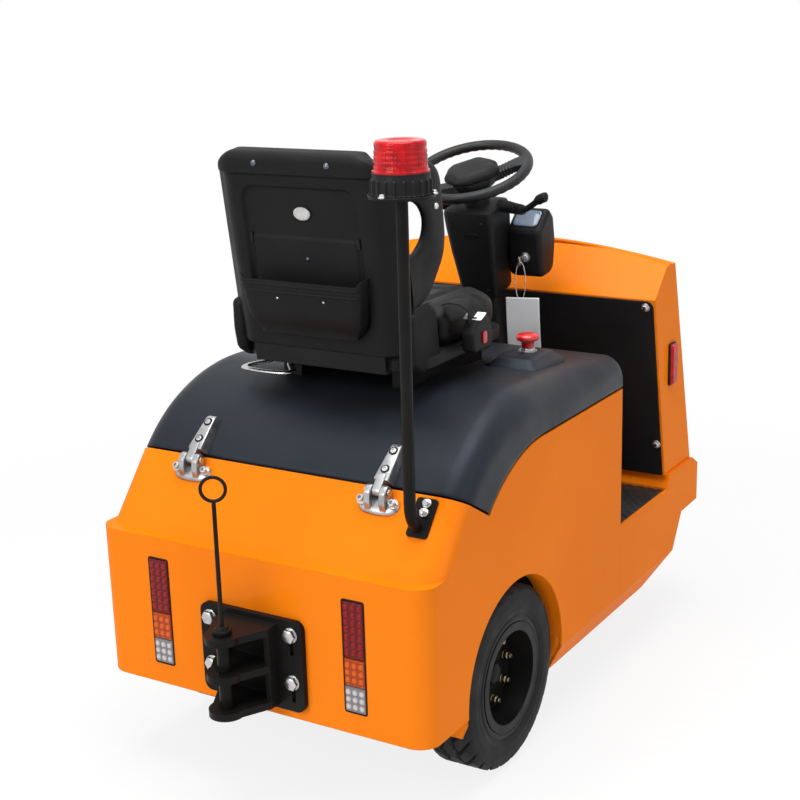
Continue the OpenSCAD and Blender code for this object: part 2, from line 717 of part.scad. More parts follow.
module document_pocket() placed() color(satin) at_back() translate([0, -back_deep, recess_z + 0.3]) difference() {
    forward(-34, recess_t) rounded([[-118, 0], [118, 0], [127, 95], [-127, 95]], [20, 20, 6, 6]);
    translate([-112, -28, 6]) cube([224, 30, 120]);
}

// Padded side wings on the shell's front edges, each round a grab hole
wing_x = back_w / 2 - 22;
wing_t = 26;
module hip_restraints() placed() color(soft) at_back() both_sides() across(wing_x, wing_x + wing_t) difference() {
    polygon(eased([[side_y + 0.3, 128], [46, 132], [118, 205], [124, 385], [100, 404], [side_y + 0.3, 404]],
        [0, 60, 80, 20, 20, 0]));
    polygon(eased([[side_y - 12, 236], [6, 236], [32, 272], [6, 328], [side_y - 12, 328]],
        [0, 14, 24, 14, 0]));
}

module seat_belt() placed() color(satin) {
    translate([seat_w / 2 + 0.3, 420, seat_z - 10]) cube([28, 70, 60]);
    translate([-seat_w / 2 - 24.3, 440, seat_z - 10]) cube([24, 30, 90]);
}

// Bent rod that frees the seat's slide
handle_d = 9;
module slide_handle() placed() color(steel) translate([0, back_y + 40 - 0.3, rail_top - 14]) {
    for (x = [-rail_x - 15, -rail_x + 15]) translate([x, 0, 0]) rotate([90, 0, 0])
        cylinder(d = handle_d, h = 50);
    translate([-rail_x - 15 - handle_d / 2, -50, 0]) rotate([0, 90, 0]) cylinder(d = handle_d, h = 30 + handle_d);
}

// Beacon pole: a plate bolted to the slope, a short stub square to it and an elbow up to the upright
foot_z = 582;
plate_t = 5;
plate_w = 44;
stub = 36;
elbow = [pole_x, slope_y(foot_z, 0), foot_z] - into * stub;
pole_y = elbow.y;
module beacon_pole() placed() color(iron) {
    translate(elbow) cylinder(d = pole_d, h = pole_z - elbow.z);
    translate(elbow) sphere(d = pole_d + 1);
    translate(elbow) rotate([slope - 90, 0, 0]) {
        rotate([-90, 0, 0]) cylinder(d = pole_d, h = stub - 1);
        translate([-20, stub - plate_t, -18]) cube([plate_w, plate_t, 77]);
    }
    translate([pole_x, pole_y, pole_z - 6]) cylinder(d = beacon_plate_d, h = 6);
}

beacon_plate_d = 116;
module beacon_base() placed() color(soft) translate([pole_x, pole_y, pole_z]) {
    cylinder(d = beacon_plate_d - 6, h = 20);
    translate([0, 0, 20]) cylinder(d = lens_d + 6, h = 8);
}

module beacon_lens() placed() color("#c01820") translate([pole_x, pole_y, pole_z + 28])
    cylinder(d1 = lens_d, d2 = lens_d - 8, h = lens_h);

// Rear wheel about its own axis, outer face towards +X: a dished rim and a tyre with bevelled shoulders
module rim_turned() {
    r = rim_d / 2;
    w = tyre_w / 2;
    rotate([0, 90, 0]) rotate_extrude() polygon([[hub_d / 2 + run, 6], [hub_d / 2 + run, -8], [r - 29, -8],
        [r - 21, 4 - w], [r, 4 - w], [r, 10 - w], [r - 12, 16 - w], [r - 12, w - 16], [r, w - 10], [r, w - 4],
        [r - 17, w - 4], [r - 25, 0], [r * 0.53, 0]]);
}
module tyre_turned(d, w, bore) rotate([0, 90, 0]) rotate_extrude($fn = 96)
    polygon([for (side = [-1, 1], k = [0:6]) let(q = tyre_steps[side < 0 ? k : 6 - k])
        [q[0] < 0 ? bore - q[0] - 1 : d / 2 - q[0], side * (w / 2 - q[1])]]);
// Steps of the tyre's outline: below nought from the bore out, else from the tread in; and in from the side
tyre_steps = [[-1, 9], [-9, 9], [-21, 1], [32, 0], [14, 5], [4, 12], [0, 24]];

module at_wheel(side) translate([side * tyre_x, axle_y, axle_z]) mirror([side < 0 ? 1 : 0, 0, 0]) children();
module rim_left() placed() color(iron) at_wheel(-1) rim_turned();
module rim_right() placed() color(iron) at_wheel(1) rim_turned();
module tyre_left() placed() color(soft) at_wheel(-1) tyre_turned(tyre_d, tyre_w, rim_d / 2 + 0.3);
module tyre_right() placed() color(soft) at_wheel(1) tyre_turned(tyre_d, tyre_w, rim_d / 2 + 0.3);

// Front fork under the floor on its king pin, and the wheel that it carries
leg_x = front_w / 2 + 8;
leg_t = 12;
crown_z = front_d + 8;
front_axle_d = 30;
module front_fork() placed() color(iron) translate([0, steer_y, 0]) {
    translate([-leg_x - leg_t, -45, crown_z]) cube([2 * (leg_x + leg_t), 90, 14]);
    translate([0, 0, crown_z + 10]) cylinder(d = king_d, h = floor_z - 2 - crown_z - 10);
    for (side = [-1, 1]) translate([side * (leg_x + leg_t / 2), 0, 0]) {
        translate([-leg_t / 2, -30, front_z]) cube([leg_t, 60, crown_z - front_z + 5]);
        translate([0, 0, front_z]) rotate([0, 90, 0]) cylinder(d = 60, h = leg_t, center = true);
    }
    translate([0, 0, front_z]) rotate([0, 90, 0])
        cylinder(d = front_axle_d, h = 2 * (leg_x + leg_t), center = true);
}

module at_front() translate([0, steer_y, front_z]) children();
module front_rim() placed() color(iron) at_front() rotate([0, 90, 0]) rotate_extrude()
    polygon([[front_axle_d / 2 + run, -front_w / 2], [30, -front_w / 2], [30, -10], [80, -10],
        [80, -front_w / 2 + 4], [95, -front_w / 2 + 4], [95, front_w / 2 - 4], [80, front_w / 2 - 4],
        [80, 10], [30, 10], [30, front_w / 2], [front_axle_d / 2 + run, front_w / 2]]);
module front_tyre() placed() color(soft) at_front() tyre_turned(front_d, front_w, 95.3);

body_shell();
step_frame();
floor_mat();
chassis_tray();
battery();
drive_axle();
front_cowl();
inner_panel();
steering_column();
instrument_pod();
control_stalks();
ignition_key();
pedals();
headlamps();
marker_lamps();
tail_lamps_red();
tail_lamps_amber();
tail_lamps_clear();
tow_jaw();
tow_pin();
hinge_lugs();
hinge_arms();
hood();
stop_button();
seat_base();
seat_pan();
seat_cushion();
backrest_shell();
backrest_pad();
document_pocket();
hip_restraints();
seat_belt();
slide_handle();
beacon_pole();
beacon_base();
beacon_lens();
rim_left();
rim_right();
tyre_left();
tyre_right();
front_fork();
front_rim();
front_tyre();
steering_wheel();
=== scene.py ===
import json
import bpy
import bmesh
import numpy as np
from mathutils import Matrix


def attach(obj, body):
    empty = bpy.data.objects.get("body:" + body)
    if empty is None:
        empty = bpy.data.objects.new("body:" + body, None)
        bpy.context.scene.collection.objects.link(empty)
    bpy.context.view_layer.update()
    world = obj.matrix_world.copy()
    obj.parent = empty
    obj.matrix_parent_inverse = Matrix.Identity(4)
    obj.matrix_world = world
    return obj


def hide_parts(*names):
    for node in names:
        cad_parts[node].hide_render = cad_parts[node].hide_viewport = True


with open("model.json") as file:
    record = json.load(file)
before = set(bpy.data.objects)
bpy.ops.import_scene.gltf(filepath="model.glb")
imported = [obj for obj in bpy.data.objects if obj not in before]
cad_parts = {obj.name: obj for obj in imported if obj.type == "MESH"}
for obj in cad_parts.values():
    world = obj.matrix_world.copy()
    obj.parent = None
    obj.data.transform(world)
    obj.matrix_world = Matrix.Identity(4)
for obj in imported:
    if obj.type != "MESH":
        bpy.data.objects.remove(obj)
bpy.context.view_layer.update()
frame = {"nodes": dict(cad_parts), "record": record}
nodes = frame["nodes"]
print("frame loaded,", len(nodes), "nodes")

datum = 602.5  # the sketch's rear face lies this far behind the frame's origin, in mm


def placed(points):
    # sketch millimetres, measured forward from the rear face, to frame metres
    return (np.asarray(points, float) - (0, datum, 0)) / 1000


def setSockets(node, values):
    for socket, value in values.items():
        node.inputs[socket].default_value = value


# camera and light
cameraSetup = {"place": (1.634, -2.7067, 1.5382), "azimuth": 31.856, "elevation": 16.4805, "roll": -1.6708,
               "lens": 68.26, "shift": (0.0069, 0.0305)}
lightSetup = {
    "key": {"place": (-0.9, -4.2, 2.7), "size": 2.6, "power": 88, "colour": (1.0, 0.985, 0.96)},
    "fill": {"place": (3.8, -0.2, 2.0), "size": 2.4, "power": 13, "colour": (0.96, 0.98, 1.0)},
    "top": {"place": (0.2, -0.4, 3.8), "size": 3.0, "power": 128, "colour": (1.0, 1.0, 1.0)},
}
lightAim = (0.0, 0.0, 0.6)
roomSetup = {"Color": (0.95, 0.97, 1.0, 1), "Strength": 0.42}


def cameraAxes(azimuth, elevation, roll):
    # back vector from the two angles, then right and up turned by the roll about it
    a, e, r = np.radians([azimuth, elevation, roll])
    back = np.array([np.sin(a) * np.cos(e), -np.cos(a) * np.cos(e), np.sin(e)])
    right = np.array([np.cos(a), np.sin(a), 0.0])
    up = np.cross(back, right)
    return right * np.cos(r) + up * np.sin(r), up * np.cos(r) - right * np.sin(r), back


def makeCamera():
    data = bpy.data.cameras.new("camera")
    camera = bpy.data.objects.new("camera", data)
    bpy.context.scene.collection.objects.link(camera)
    axes = np.eye(4)
    axes[:3, :3] = np.stack(cameraAxes(*[cameraSetup[k] for k in ("azimuth", "elevation", "roll")]), -1)
    axes[:3, 3] = cameraSetup["place"]
    camera.matrix_world = Matrix(axes.tolist())
    data.sensor_width, data.lens = 36, cameraSetup["lens"]
    data.shift_x, data.shift_y = cameraSetup["shift"]
    data.clip_start, data.clip_end = 0.05, 60
    bpy.context.scene.camera = camera


def makeLights():
    # soft discs that all face one point of the object
    for name, spec in lightSetup.items():
        data = bpy.data.lights.new(name, "AREA")
        data.shape, data.size, data.energy, data.color = "DISK", spec["size"], spec["power"], spec["colour"]
        lamp = bpy.data.objects.new(name, data)
        place = np.array(spec["place"])
        aim = np.array(lightAim) - place
        w = -aim / np.linalg.norm(aim)
        u = np.cross([0, 0, 1.0], w) if abs(w[2]) < 0.99 else np.array([1.0, 0, 0])
        u = u / np.linalg.norm(u)
        axes = np.eye(4)
        axes[:3, :3] = np.stack([u, np.cross(w, u), w], -1)
        axes[:3, 3] = place
        lamp.matrix_world = Matrix(axes.tolist())
        bpy.context.scene.collection.objects.link(lamp)


def pathSwitch(tree):
    # one where a camera, glossy or transmitted ray asks, else nought
    path = tree.nodes.new("ShaderNodeLightPath")
    last = path.outputs["Is Camera Ray"]
    for ray in ("Is Glossy Ray", "Is Transmission Ray"):
        add = tree.nodes.new("ShaderNodeMath")
        add.operation = "MAXIMUM"
        tree.links.new(last, add.inputs[0])
        tree.links.new(path.outputs[ray], add.inputs[1])
        last = add.outputs[0]
    return last


def makeWorld():
    # a pale room that lights the object, white to the camera and in mirrors
    world = bpy.data.worlds.new("studio")
    bpy.context.scene.world = world
    world.use_nodes = True
    tree = world.node_tree
    tree.nodes.clear()
    out = tree.nodes.new("ShaderNodeOutputWorld")
    room, white, mix = (tree.nodes.new(k) for k in
                        ("ShaderNodeBackground", "ShaderNodeBackground", "ShaderNodeMixShader"))
    setSockets(room, roomSetup)
    setSockets(white, {"Color": (1, 1, 1, 1), "Strength": 1.0})
    tree.links.new(pathSwitch(tree), mix.inputs[0])
    tree.links.new(room.outputs[0], mix.inputs[1])
    tree.links.new(white.outputs[0], mix.inputs[2])
    tree.links.new(mix.outputs[0], out.inputs[0])


floorSetup = {"half": 14.0, "near": 1.1, "far": 2.6, "grey": 0.86, "glow": 0.84}


def makeFloor():
    # pale paper that takes the shadow near the object and turns plain white further out
    mesh = bpy.data.meshes.new("floor")
    r = floorSetup["half"]
    mesh.from_pydata([(-r, -r, 0), (r, -r, 0), (r, r, 0), (-r, r, 0)], [], [(0, 1, 2, 3)])
    floor = bpy.data.objects.new("floor", mesh)
    bpy.context.scene.collection.objects.link(floor)
    paper = bpy.data.materials.new("paleFloor")
    paper.use_nodes = True
    tree = paper.node_tree
    tree.nodes.clear()
    out, soft, glow, mix, place, length, spread, scale = (tree.nodes.new(k) for k in (
        "ShaderNodeOutputMaterial", "ShaderNodeBsdfDiffuse", "ShaderNodeEmission", "ShaderNodeMixShader",
        "ShaderNodeTexCoord", "ShaderNodeVectorMath", "ShaderNodeMapRange", "ShaderNodeMath"))
    g = floorSetup["grey"]
    soft.inputs["Color"].default_value = (g, g, g, 1)
    length.operation, scale.operation = "LENGTH", "MULTIPLY"
    spread.interpolation_type = "SMOOTHSTEP"
    setSockets(spread, {"From Min": floorSetup["near"], "From Max": floorSetup["far"],
                        "To Min": floorSetup["glow"], "To Max": 1.0})
    for source, target in (
            (place.outputs["Object"], length.inputs[0]), (length.outputs["Value"], spread.inputs["Value"]),
            (spread.outputs[0], scale.inputs[0]), (pathSwitch(tree), scale.inputs[1]),
            (scale.outputs[0], mix.inputs[0]), (soft.outputs[0], mix.inputs[1]),
            (glow.outputs[0], mix.inputs[2]), (mix.outputs[0], out.inputs[0])):
        tree.links.new(source, target)
    mesh.materials.append(paper)


makeCamera()
makeLights()
makeWorld()
makeFloor()
bpy.context.scene.view_settings.view_transform = "Standard"
print("camera, lights and floor set")


# finishes: a colour and sockets for each, then two shades mixed by noise (scale, first, second) or by the
# domes' height as a painted highlight, a drift of the roughness (scale, low, high), bumps and a radius for
# softened edges
noiseKind, cellKind, waveKind = "ShaderNodeTexNoise", "ShaderNodeTexVoronoi", "ShaderNodeTexWave"
shaderName = "Principled BSDF"
socketOf = {"rough": "Roughness", "metal": "Metallic", "specular": "Specular IOR Level",
            "specularTint": "Specular Tint", "coat": "Coat Weight", "coatRough": "Coat Roughness",
            "sheen": "Sheen Weight", "sheenRough": "Sheen Roughness"}
lampGrain = [(noiseKind, 120, 0.2, 0.10)]
tailGloss = {"rough": 0.12, "specular": 0.2, "coat": 0.1, "coatRough": 0.05, "grain": lampGrain}
# the tail lamps' painted highlight rises from nought between the domes to full at their tops
domeSpan = (-2.1, -4.9)  # mm from the rear face, between the tail lamps' domes and at their tops
finishSetup = {
    "orangePaint": {
        "colour": (0.88, 0.205, 0.005), "rough": 0.36, "specular": 0.0, "coat": 0.16, "coatRough": 0.16,
        "tint": (2.2, (0.86, 0.196, 0.0045), (0.92, 0.218, 0.006)), "drift": (6.0, 0.29, 0.40),
        "grain": [(noiseKind, 420, 0.12, 0.10), (noiseKind, 5, 1.2, 0.08)], "edge": 0.004},
    "blackHood": {
        "colour": (0.012, 0.0135, 0.017), "rough": 0.44,
        # the bluish tint on the hood's reflections is a painted sky reflection
        "specular": 0.24, "specularTint": (0.66, 0.80, 1.0, 1),
        "tint": (3.0, (0.010, 0.0115, 0.0145), (0.015, 0.0165, 0.021)), "drift": (14.0, 0.36, 0.50),
        "grain": [(cellKind, 700, 0.25, 0.22), (noiseKind, 6, 1.5, 0.08)], "edge": 0.004},
    "blackPlastic": {
        "colour": (0.008, 0.008, 0.009), "rough": 0.48, "specular": 0.16,
        "tint": (5.0, (0.0065, 0.0065, 0.0075), (0.0105, 0.0105, 0.0115)), "drift": (18.0, 0.42, 0.55),
        "grain": [(cellKind, 900, 0.2, 0.25)], "edge": 0.003},
    "seatPlastic": {
        "colour": (0.0065, 0.0065, 0.007), "rough": 0.48, "specular": 0.14,
        "tint": (4.0, (0.0052, 0.0052, 0.0057), (0.0085, 0.0085, 0.009)), "drift": (20.0, 0.50, 0.62),
        "grain": [(cellKind, 620, 0.3, 0.35), (noiseKind, 9, 1.0, 0.08)], "edge": 0.002},
    "wheelRubber": {
        "colour": (0.010, 0.0105, 0.0115), "rough": 0.40, "specular": 0.25,
        "tint": (8.0, (0.0085, 0.009, 0.010), (0.013, 0.0135, 0.015)), "drift": (24.0, 0.34, 0.48),
        "grain": [(cellKind, 800, 0.2, 0.25)], "edge": 0.0015},
    "beltWeb": {
        "colour": (0.010, 0.010, 0.011), "rough": 0.7, "specular": 0.2,
        "tint": (30.0, (0.008, 0.008, 0.009), (0.014, 0.014, 0.015)), "grain": [(waveKind, 260, 0.4, 0.5)]},
    "whiteCard": {
        "colour": (0.88, 0.88, 0.89), "rough": 0.6,
        "tint": (20.0, (0.84, 0.84, 0.85), (0.90, 0.90, 0.91)), "grain": [(noiseKind, 300, 0.1, 0.15)]},
    "badgeFoil": {
        "colour": (0.50, 0.49, 0.48), "rough": 0.42, "specular": 0.3,
        "tint": (60.0, (0.40, 0.39, 0.385), (0.56, 0.555, 0.55)), "grain": [(noiseKind, 420, 0.15, 0.25)]},
    "displayGlass": {
        "colour": (0.16, 0.21, 0.30), "rough": 0.10, "coat": 0.5, "coatRough": 0.03,
        "tint": (14.0, (0.13, 0.18, 0.26), (0.20, 0.26, 0.36)), "grain": [(noiseKind, 60, 0.1, 0.05)]},
    "blackVinyl": {
        "colour": (0.0065, 0.0065, 0.0072), "rough": 0.5, "specular": 0.15, "sheen": 0.02, "sheenRough": 0.4,
        "tint": (7.0, (0.0053, 0.0053, 0.006), (0.0085, 0.0085, 0.0095)), "drift": (25.0, 0.42, 0.58),
        "grain": [(cellKind, 520, 0.5, 0.45), (noiseKind, 40, 0.6, 0.15)]},
    "blackSteel": {
        "colour": (0.009, 0.0085, 0.0083), "rough": 0.38, "specular": 0.08, "coat": 0.03, "coatRough": 0.25,
        "tint": (9.0, (0.0075, 0.0070, 0.0068), (0.0125, 0.0115, 0.011)), "drift": (22.0, 0.28, 0.46),
        "grain": [(noiseKind, 260, 0.3, 0.18)], "edge": 0.002},
    "castAlloy": {
        "colour": (0.40, 0.405, 0.41), "rough": 0.42, "metal": 1.0,
        "tint": (40.0, (0.31, 0.315, 0.32), (0.46, 0.465, 0.47)), "drift": (60.0, 0.30, 0.48),
        "grain": [(noiseKind, 340, 0.3, 0.30)], "edge": 0.0015},
    "zincSteel": {
        "colour": (0.55, 0.56, 0.57), "rough": 0.28, "metal": 1.0,
        "tint": (60.0, (0.46, 0.47, 0.50), (0.62, 0.61, 0.58)), "drift": (90.0, 0.20, 0.36),
        "grain": [(noiseKind, 500, 0.1, 0.15)], "edge": 0.0008},
    "screwSteel": {
        "colour": (0.10, 0.11, 0.13), "rough": 0.30, "metal": 1.0,
        "tint": (60.0, (0.07, 0.08, 0.10), (0.14, 0.15, 0.18)),
        "grain": [(noiseKind, 400, 0.1, 0.15)], "edge": 0.0008},
    "yellowZinc": {
        "colour": (0.29, 0.235, 0.14), "rough": 0.34, "metal": 1.0,
        "tint": (50.0, (0.18, 0.14, 0.075), (0.38, 0.33, 0.23)), "drift": (70.0, 0.24, 0.44),
        "grain": [(noiseKind, 400, 0.2, 0.2)], "edge": 0.0008},
    "rubberMat": {
        "colour": (0.014, 0.014, 0.014), "rough": 0.46, "specular": 0.5,
        "tint": (12.0, (0.010, 0.010, 0.010), (0.019, 0.0185, 0.018)),
        "grain": [(noiseKind, 380, 0.3, 0.35)]},
    "tyreRubber": {
        "colour": (0.010, 0.010, 0.0105), "rough": 0.66, "specular": 0.2,
        "tint": (9.0, (0.008, 0.008, 0.0085), (0.015, 0.0145, 0.014)), "drift": (16.0, 0.55, 0.75),
        "grain": [(noiseKind, 300, 0.4, 0.30)]},
    "redLens": {
        "colour": (0.48, 0.005, 0.009), "rough": 0.14, "specular": 0.12, "coat": 0.15, "coatRough": 0.05,
        "tint": (70.0, (0.34, 0.003, 0.006), (0.62, 0.006, 0.010)), "grain": lampGrain},
    "amberLens": {
        "colour": (0.80, 0.15, 0.003), "rough": 0.14, "specular": 0.3, "coat": 0.15, "coatRough": 0.05,
        "tint": (70.0, (0.60, 0.09, 0.002), (0.90, 0.22, 0.005)), "grain": lampGrain},
    "clearLens": {
        "colour": (0.44, 0.43, 0.45), "rough": 0.12, "specular": 0.4, "coat": 0.2, "coatRough": 0.05,
        "tint": (70.0, (0.24, 0.23, 0.25), (0.62, 0.61, 0.63)), "grain": lampGrain},
    # tail lamp lenses: two shades by the domes' height, the lighter one on the tops as a painted highlight
    "tailRed": {
        "colour": (0.18, 0.004, 0.006), "domes": ((0.13, 0.001, 0.002), (0.26, 0.003, 0.005)), **tailGloss},
    "tailAmber": {
        "colour": (0.47, 0.07, 0.003), "domes": ((0.36, 0.042, 0.001), (0.68, 0.105, 0.003)), **tailGloss},
    "tailClear": {
        "colour": (0.35, 0.34, 0.35), "domes": ((0.20, 0.185, 0.19), (0.56, 0.535, 0.545)), **tailGloss},
    "redButton": {
        "colour": (0.62, 0.008, 0.010), "rough": 0.28, "coat": 0.3, "coatRough": 0.1,
        "tint": (25.0, (0.56, 0.006, 0.008), (0.66, 0.010, 0.012)),
        "grain": [(noiseKind, 260, 0.15, 0.12)], "edge": 0.001},
    "batteryCase": {
        "colour": (0.045, 0.048, 0.055), "rough": 0.5,
        "tint": (6.0, (0.038, 0.041, 0.047), (0.055, 0.058, 0.066)),
        "grain": [(noiseKind, 200, 0.4, 0.25)], "edge": 0.004},
}


def objectNoise(tree, scale, detail, kind=noiseKind):
    place, noise = tree.nodes.new("ShaderNodeTexCoord"), tree.nodes.new(kind)
    noise.inputs["Scale"].default_value = scale
    if "Detail" in noise.inputs:
        noise.inputs["Detail"].default_value = detail
    tree.links.new(place.outputs["Object"], noise.inputs["Vector"])
    return noise.outputs["Fac"] if "Fac" in noise.outputs else noise.outputs["Distance"]


def drifted(tree, scale, low, high):
    # a roughness that drifts between two values over the surface
    drift = tree.nodes.new("ShaderNodeMapRange")
    setSockets(drift, {"From Min": 0.3, "From Max": 0.7, "To Min": low, "To Max": high})
    tree.links.new(objectNoise(tree, scale, 4.0), drift.inputs["Value"])
    tree.links.new(drift.outputs[0], tree.nodes[shaderName].inputs["Roughness"])


def shaded(tree, amount, spread, shades):
    # the colour between two shades, by an amount that goes from the first place to the second
    blend = tree.nodes.new("ShaderNodeValToRGB")
    for stop, place, shade in zip(blend.color_ramp.elements, spread, shades):
        stop.position, stop.color = place, (*shade, 1)
    tree.links.new(amount, blend.inputs[0])
    tree.links.new(blend.outputs[0], tree.nodes[shaderName].inputs["Base Color"])


def domeHighlightAmount(tree):
    # painted highlight: nought between the tail lamps' domes and one at their tops, by how far a point stands
    # out behind
    place, split, rise = (tree.nodes.new(kind) for kind in (
        "ShaderNodeTexCoord", "ShaderNodeSeparateXYZ", "ShaderNodeMapRange"))
    foot, top = ((y - datum) / 1000 for y in domeSpan)
    setSockets(rise, {"From Min": foot, "From Max": top})
    tree.links.new(place.outputs["Object"], split.inputs[0])
    tree.links.new(split.outputs["Y"], rise.inputs["Value"])
    return rise.outputs[0]


def grained(tree, layers, edge):
    # bumps stacked in order: (kind, scale, depth in mm, strength); edge softens sharp corners
    last = None
    if edge:
        soft = tree.nodes.new("ShaderNodeBevel")
        soft.samples = 6
        soft.inputs["Radius"].default_value = edge
        last = soft.outputs[0]
    for kind, scale, depth, strength in layers:
        bump = tree.nodes.new("ShaderNodeBump")
        setSockets(bump, {"Strength": strength, "Distance": depth / 1000})
        tree.links.new(objectNoise(tree, scale, 2.0, kind), bump.inputs["Height"])
        if last:
            tree.links.new(last, bump.inputs["Normal"])
        last = bump.outputs[0]
    tree.links.new(last, tree.nodes[shaderName].inputs["Normal"])


def newFinish(name, spec):
    finish = bpy.data.materials.new(name)
    finish.use_nodes = True
    tree = finish.node_tree
    shader = tree.nodes[shaderName]
    shader.inputs["Base Color"].default_value = (*spec["colour"], 1)
    setSockets(shader, {socket: spec[key] for key, socket in socketOf.items() if key in spec})
    if "tint" in spec:
        scale, *shades = spec["tint"]
        shaded(tree, objectNoise(tree, scale, 4.0), (0.35, 0.65), shades)
    else:
        # tail lamps: painted highlight, the lighter shade laid on the dome tops
        shaded(tree, domeHighlightAmount(tree), (0.0, 1.0), spec["domes"])
    if "drift" in spec:
        drifted(tree, *spec["drift"])
    grained(tree, spec["grain"], spec.get("edge", 0.0))
    return finish


finishes = {name: newFinish(name, spec) for name, spec in finishSetup.items()}


def finishOf(slot):
    # the finish that is named as the slot is, such as orangePaint for orange_paint
    first, second = slot.split("_")
    return finishes[first + second.title()]


slotOfNode = {part["node"]: part["material_slot"] for part in frame["record"]["subparts"]}
for nodeName, node in nodes.items():
    node.data.materials.clear()
    node.data.materials.append(finishOf(slotOfNode[nodeName]))
print("finishes made:", len(finishes))


# shapes: a shape is its points in sketch mm and its faces, kept by their number of corners
def gridShape(points, wrapU=False, wrapV=False, lids=()):
    # quads between neighbouring rows and columns of a grid of points; a lid closes the named row
    rows, columns = points.shape[:2]
    index = np.arange(rows * columns).reshape(rows, columns)
    rings = [index[row] for row in lids]
    if wrapU:
        index = np.vstack([index, index[:1]])
    if wrapV:
        index = np.hstack([index, index[:, :1]])
    quads = np.stack([index[:-1, :-1], index[1:, :-1], index[1:, 1:], index[:-1, 1:]], -1).reshape(-1, 4)
    faces = {4: quads}
    if rings:
        faces[columns] = np.vstack(rings) if columns != 4 else np.vstack([quads] + rings)
    return points.reshape(-1, 3), faces


def joined(*shapes):
    # one shape of all the points, with each shape's faces counted on from the last
    points, faces, base = [], {}, 0
    for corners, polygons in shapes:
        points.append(corners)
        for size, rows in polygons.items():
            faces.setdefault(size, []).append(rows + base)
        base += len(corners)
    return np.vstack(points), {size: np.vstack(rows) for size, rows in faces.items()}


def axesFrom(direction):
    # two vectors square to the direction, and itself, as columns
    w = np.asarray(direction, float)
    w = w / np.linalg.norm(w)
    u = np.cross((0, 0, 1) if abs(w[2]) < 0.9 else (0, 1, 0), w)
    u = u / np.linalg.norm(u)
    return np.stack([u, np.cross(w, u), w], -1)


def repeated(shape, places, direction):
    # copies of a shape that stands on its own origin along Z, one at each place, turned to a direction
    places = np.atleast_2d(np.asarray(places, float))
    axes = np.broadcast_to(axesFrom(direction), (len(places), 3, 3))
    points = np.einsum("kij,vj->kvi", axes, shape[0]) + places[:, None]
    step = np.arange(len(places))[:, None, None] * len(shape[0])
    faces = {size: (rows[None] + step).reshape(-1, size) for size, rows in shape[1].items()}
    return points.reshape(-1, 3), faces


def turned(profile, sides):
    # outline of (radius, height) points turned about Z
    r, h = np.asarray(profile, float).T
    angle = np.linspace(0, 2 * np.pi, sides, endpoint=False)
    points = np.stack([r[:, None] * np.cos(angle), r[:, None] * np.sin(angle), h[:, None] + 0 * angle], -1)
    return gridShape(points, wrapV=True)


def tilted(shape, origin, angle):
    # turned by angle degrees about the crosswise axis, then moved to origin
    a = np.radians(angle)
    x, y, z = shape[0].T
    points = np.stack([x, y * np.cos(a) - z * np.sin(a), y * np.sin(a) + z * np.cos(a)], -1)
    return points + np.asarray(origin, float), shape[1]


def shifted(shape, offset):
    # moved without turning
    return shape[0] + np.asarray(offset, float), shape[1]


def bothSides(shape):
    # the shape and its mirror image across the middle
    return joined(shape, (shape[0] * (-1, 1, 1), shape[1]))


def smoothPath(points, count):
    # Catmull-Rom curve through the points, sampled evenly in its parameter
    p = np.asarray(points, float)
    n = len(p)
    t = np.linspace(0, n - 1, count)
    k = np.minimum(t.astype(int), n - 2)
    f = (t - k)[:, None]
    ends = np.vstack([2 * p[0] - p[1], p, 2 * p[-1] - p[-2]])
    a, b, c, d = (ends[k + j] for j in range(4))
    square, cube = 2 * a - 5 * b + 4 * c - d, 3 * b - a - 3 * c + d
    return 0.5 * (2 * b + (c - a) * f + square * f ** 2 + cube * f ** 3)


def roundedOutline(points, radii, steps=8):
    # polygon whose corners become arcs that touch both edges
    p = np.asarray(points, float)
    before, after = np.roll(p, 1, 0) - p, np.roll(p, -1, 0) - p
    u, v = (e / np.linalg.norm(e, axis=1, keepdims=True) for e in (before, after))
    r = np.maximum(np.asarray(radii, float), 1e-3)
    half = np.arccos(np.clip((u * v).sum(1), -1, 1)) / 2
    middle = u + v
    middle = middle / np.linalg.norm(middle, axis=1, keepdims=True)
    centre = p + middle * (r / np.sin(half))[:, None]
    d0, d1 = (p + e * (r / np.tan(half))[:, None] - centre for e in (u, v))
    whole = (np.pi - 2 * half)[:, None, None]
    t = np.linspace(0, 1, steps + 1)[None, :, None]
    arc = (np.sin((1 - t) * whole) * d0[:, None] + np.sin(t * whole) * d1[:, None]) / np.sin(whole)
    return (centre[:, None] + arc).reshape(-1, 2)


def evened(path, count, closed=True):
    # the same curve at equal steps of its length
    p = np.vstack([path, path[:1]]) if closed else np.asarray(path, float)
    run = np.concatenate([[0], np.cumsum(np.linalg.norm(np.diff(p, axis=0), axis=1))])
    t = np.linspace(0, run[-1], count, endpoint=not closed)
    return np.stack([np.interp(t, run, p[:, k]) for k in range(p.shape[1])], -1)


def box(left, right, low, high, r, steps=8):
    # rectangle whose four corners have one radius
    return roundedOutline([(left, low), (right, low), (right, high), (left, high)], [r] * 4, steps)


def stacked(outlines, heights):
    # closed outlines of one count laid at their heights and joined, with a lid at each end
    rows = [np.c_[outline, np.full(len(outline), float(z))] for outline, z in zip(outlines, heights)]
    return gridShape(np.stack(rows), wrapV=True, lids=(0, -1))


def slab(outline, levels):
    # closed outline in XY carried up Z through (inset, height) levels, each moved in along its normals
    o = np.asarray(outline, float)
    edge = np.roll(o, -1, 0) - np.roll(o, 1, 0)
    normal = np.stack([edge[:, 1], -edge[:, 0]], -1) / np.linalg.norm(edge, axis=1, keepdims=True)
    turn = np.sign((o[:, 0] * np.roll(o[:, 1], -1) - np.roll(o[:, 0], -1) * o[:, 1]).sum())
    inset, height = np.asarray(levels, float).T
    return stacked(o[None] - turn * normal[None] * inset[:, None, None], height)


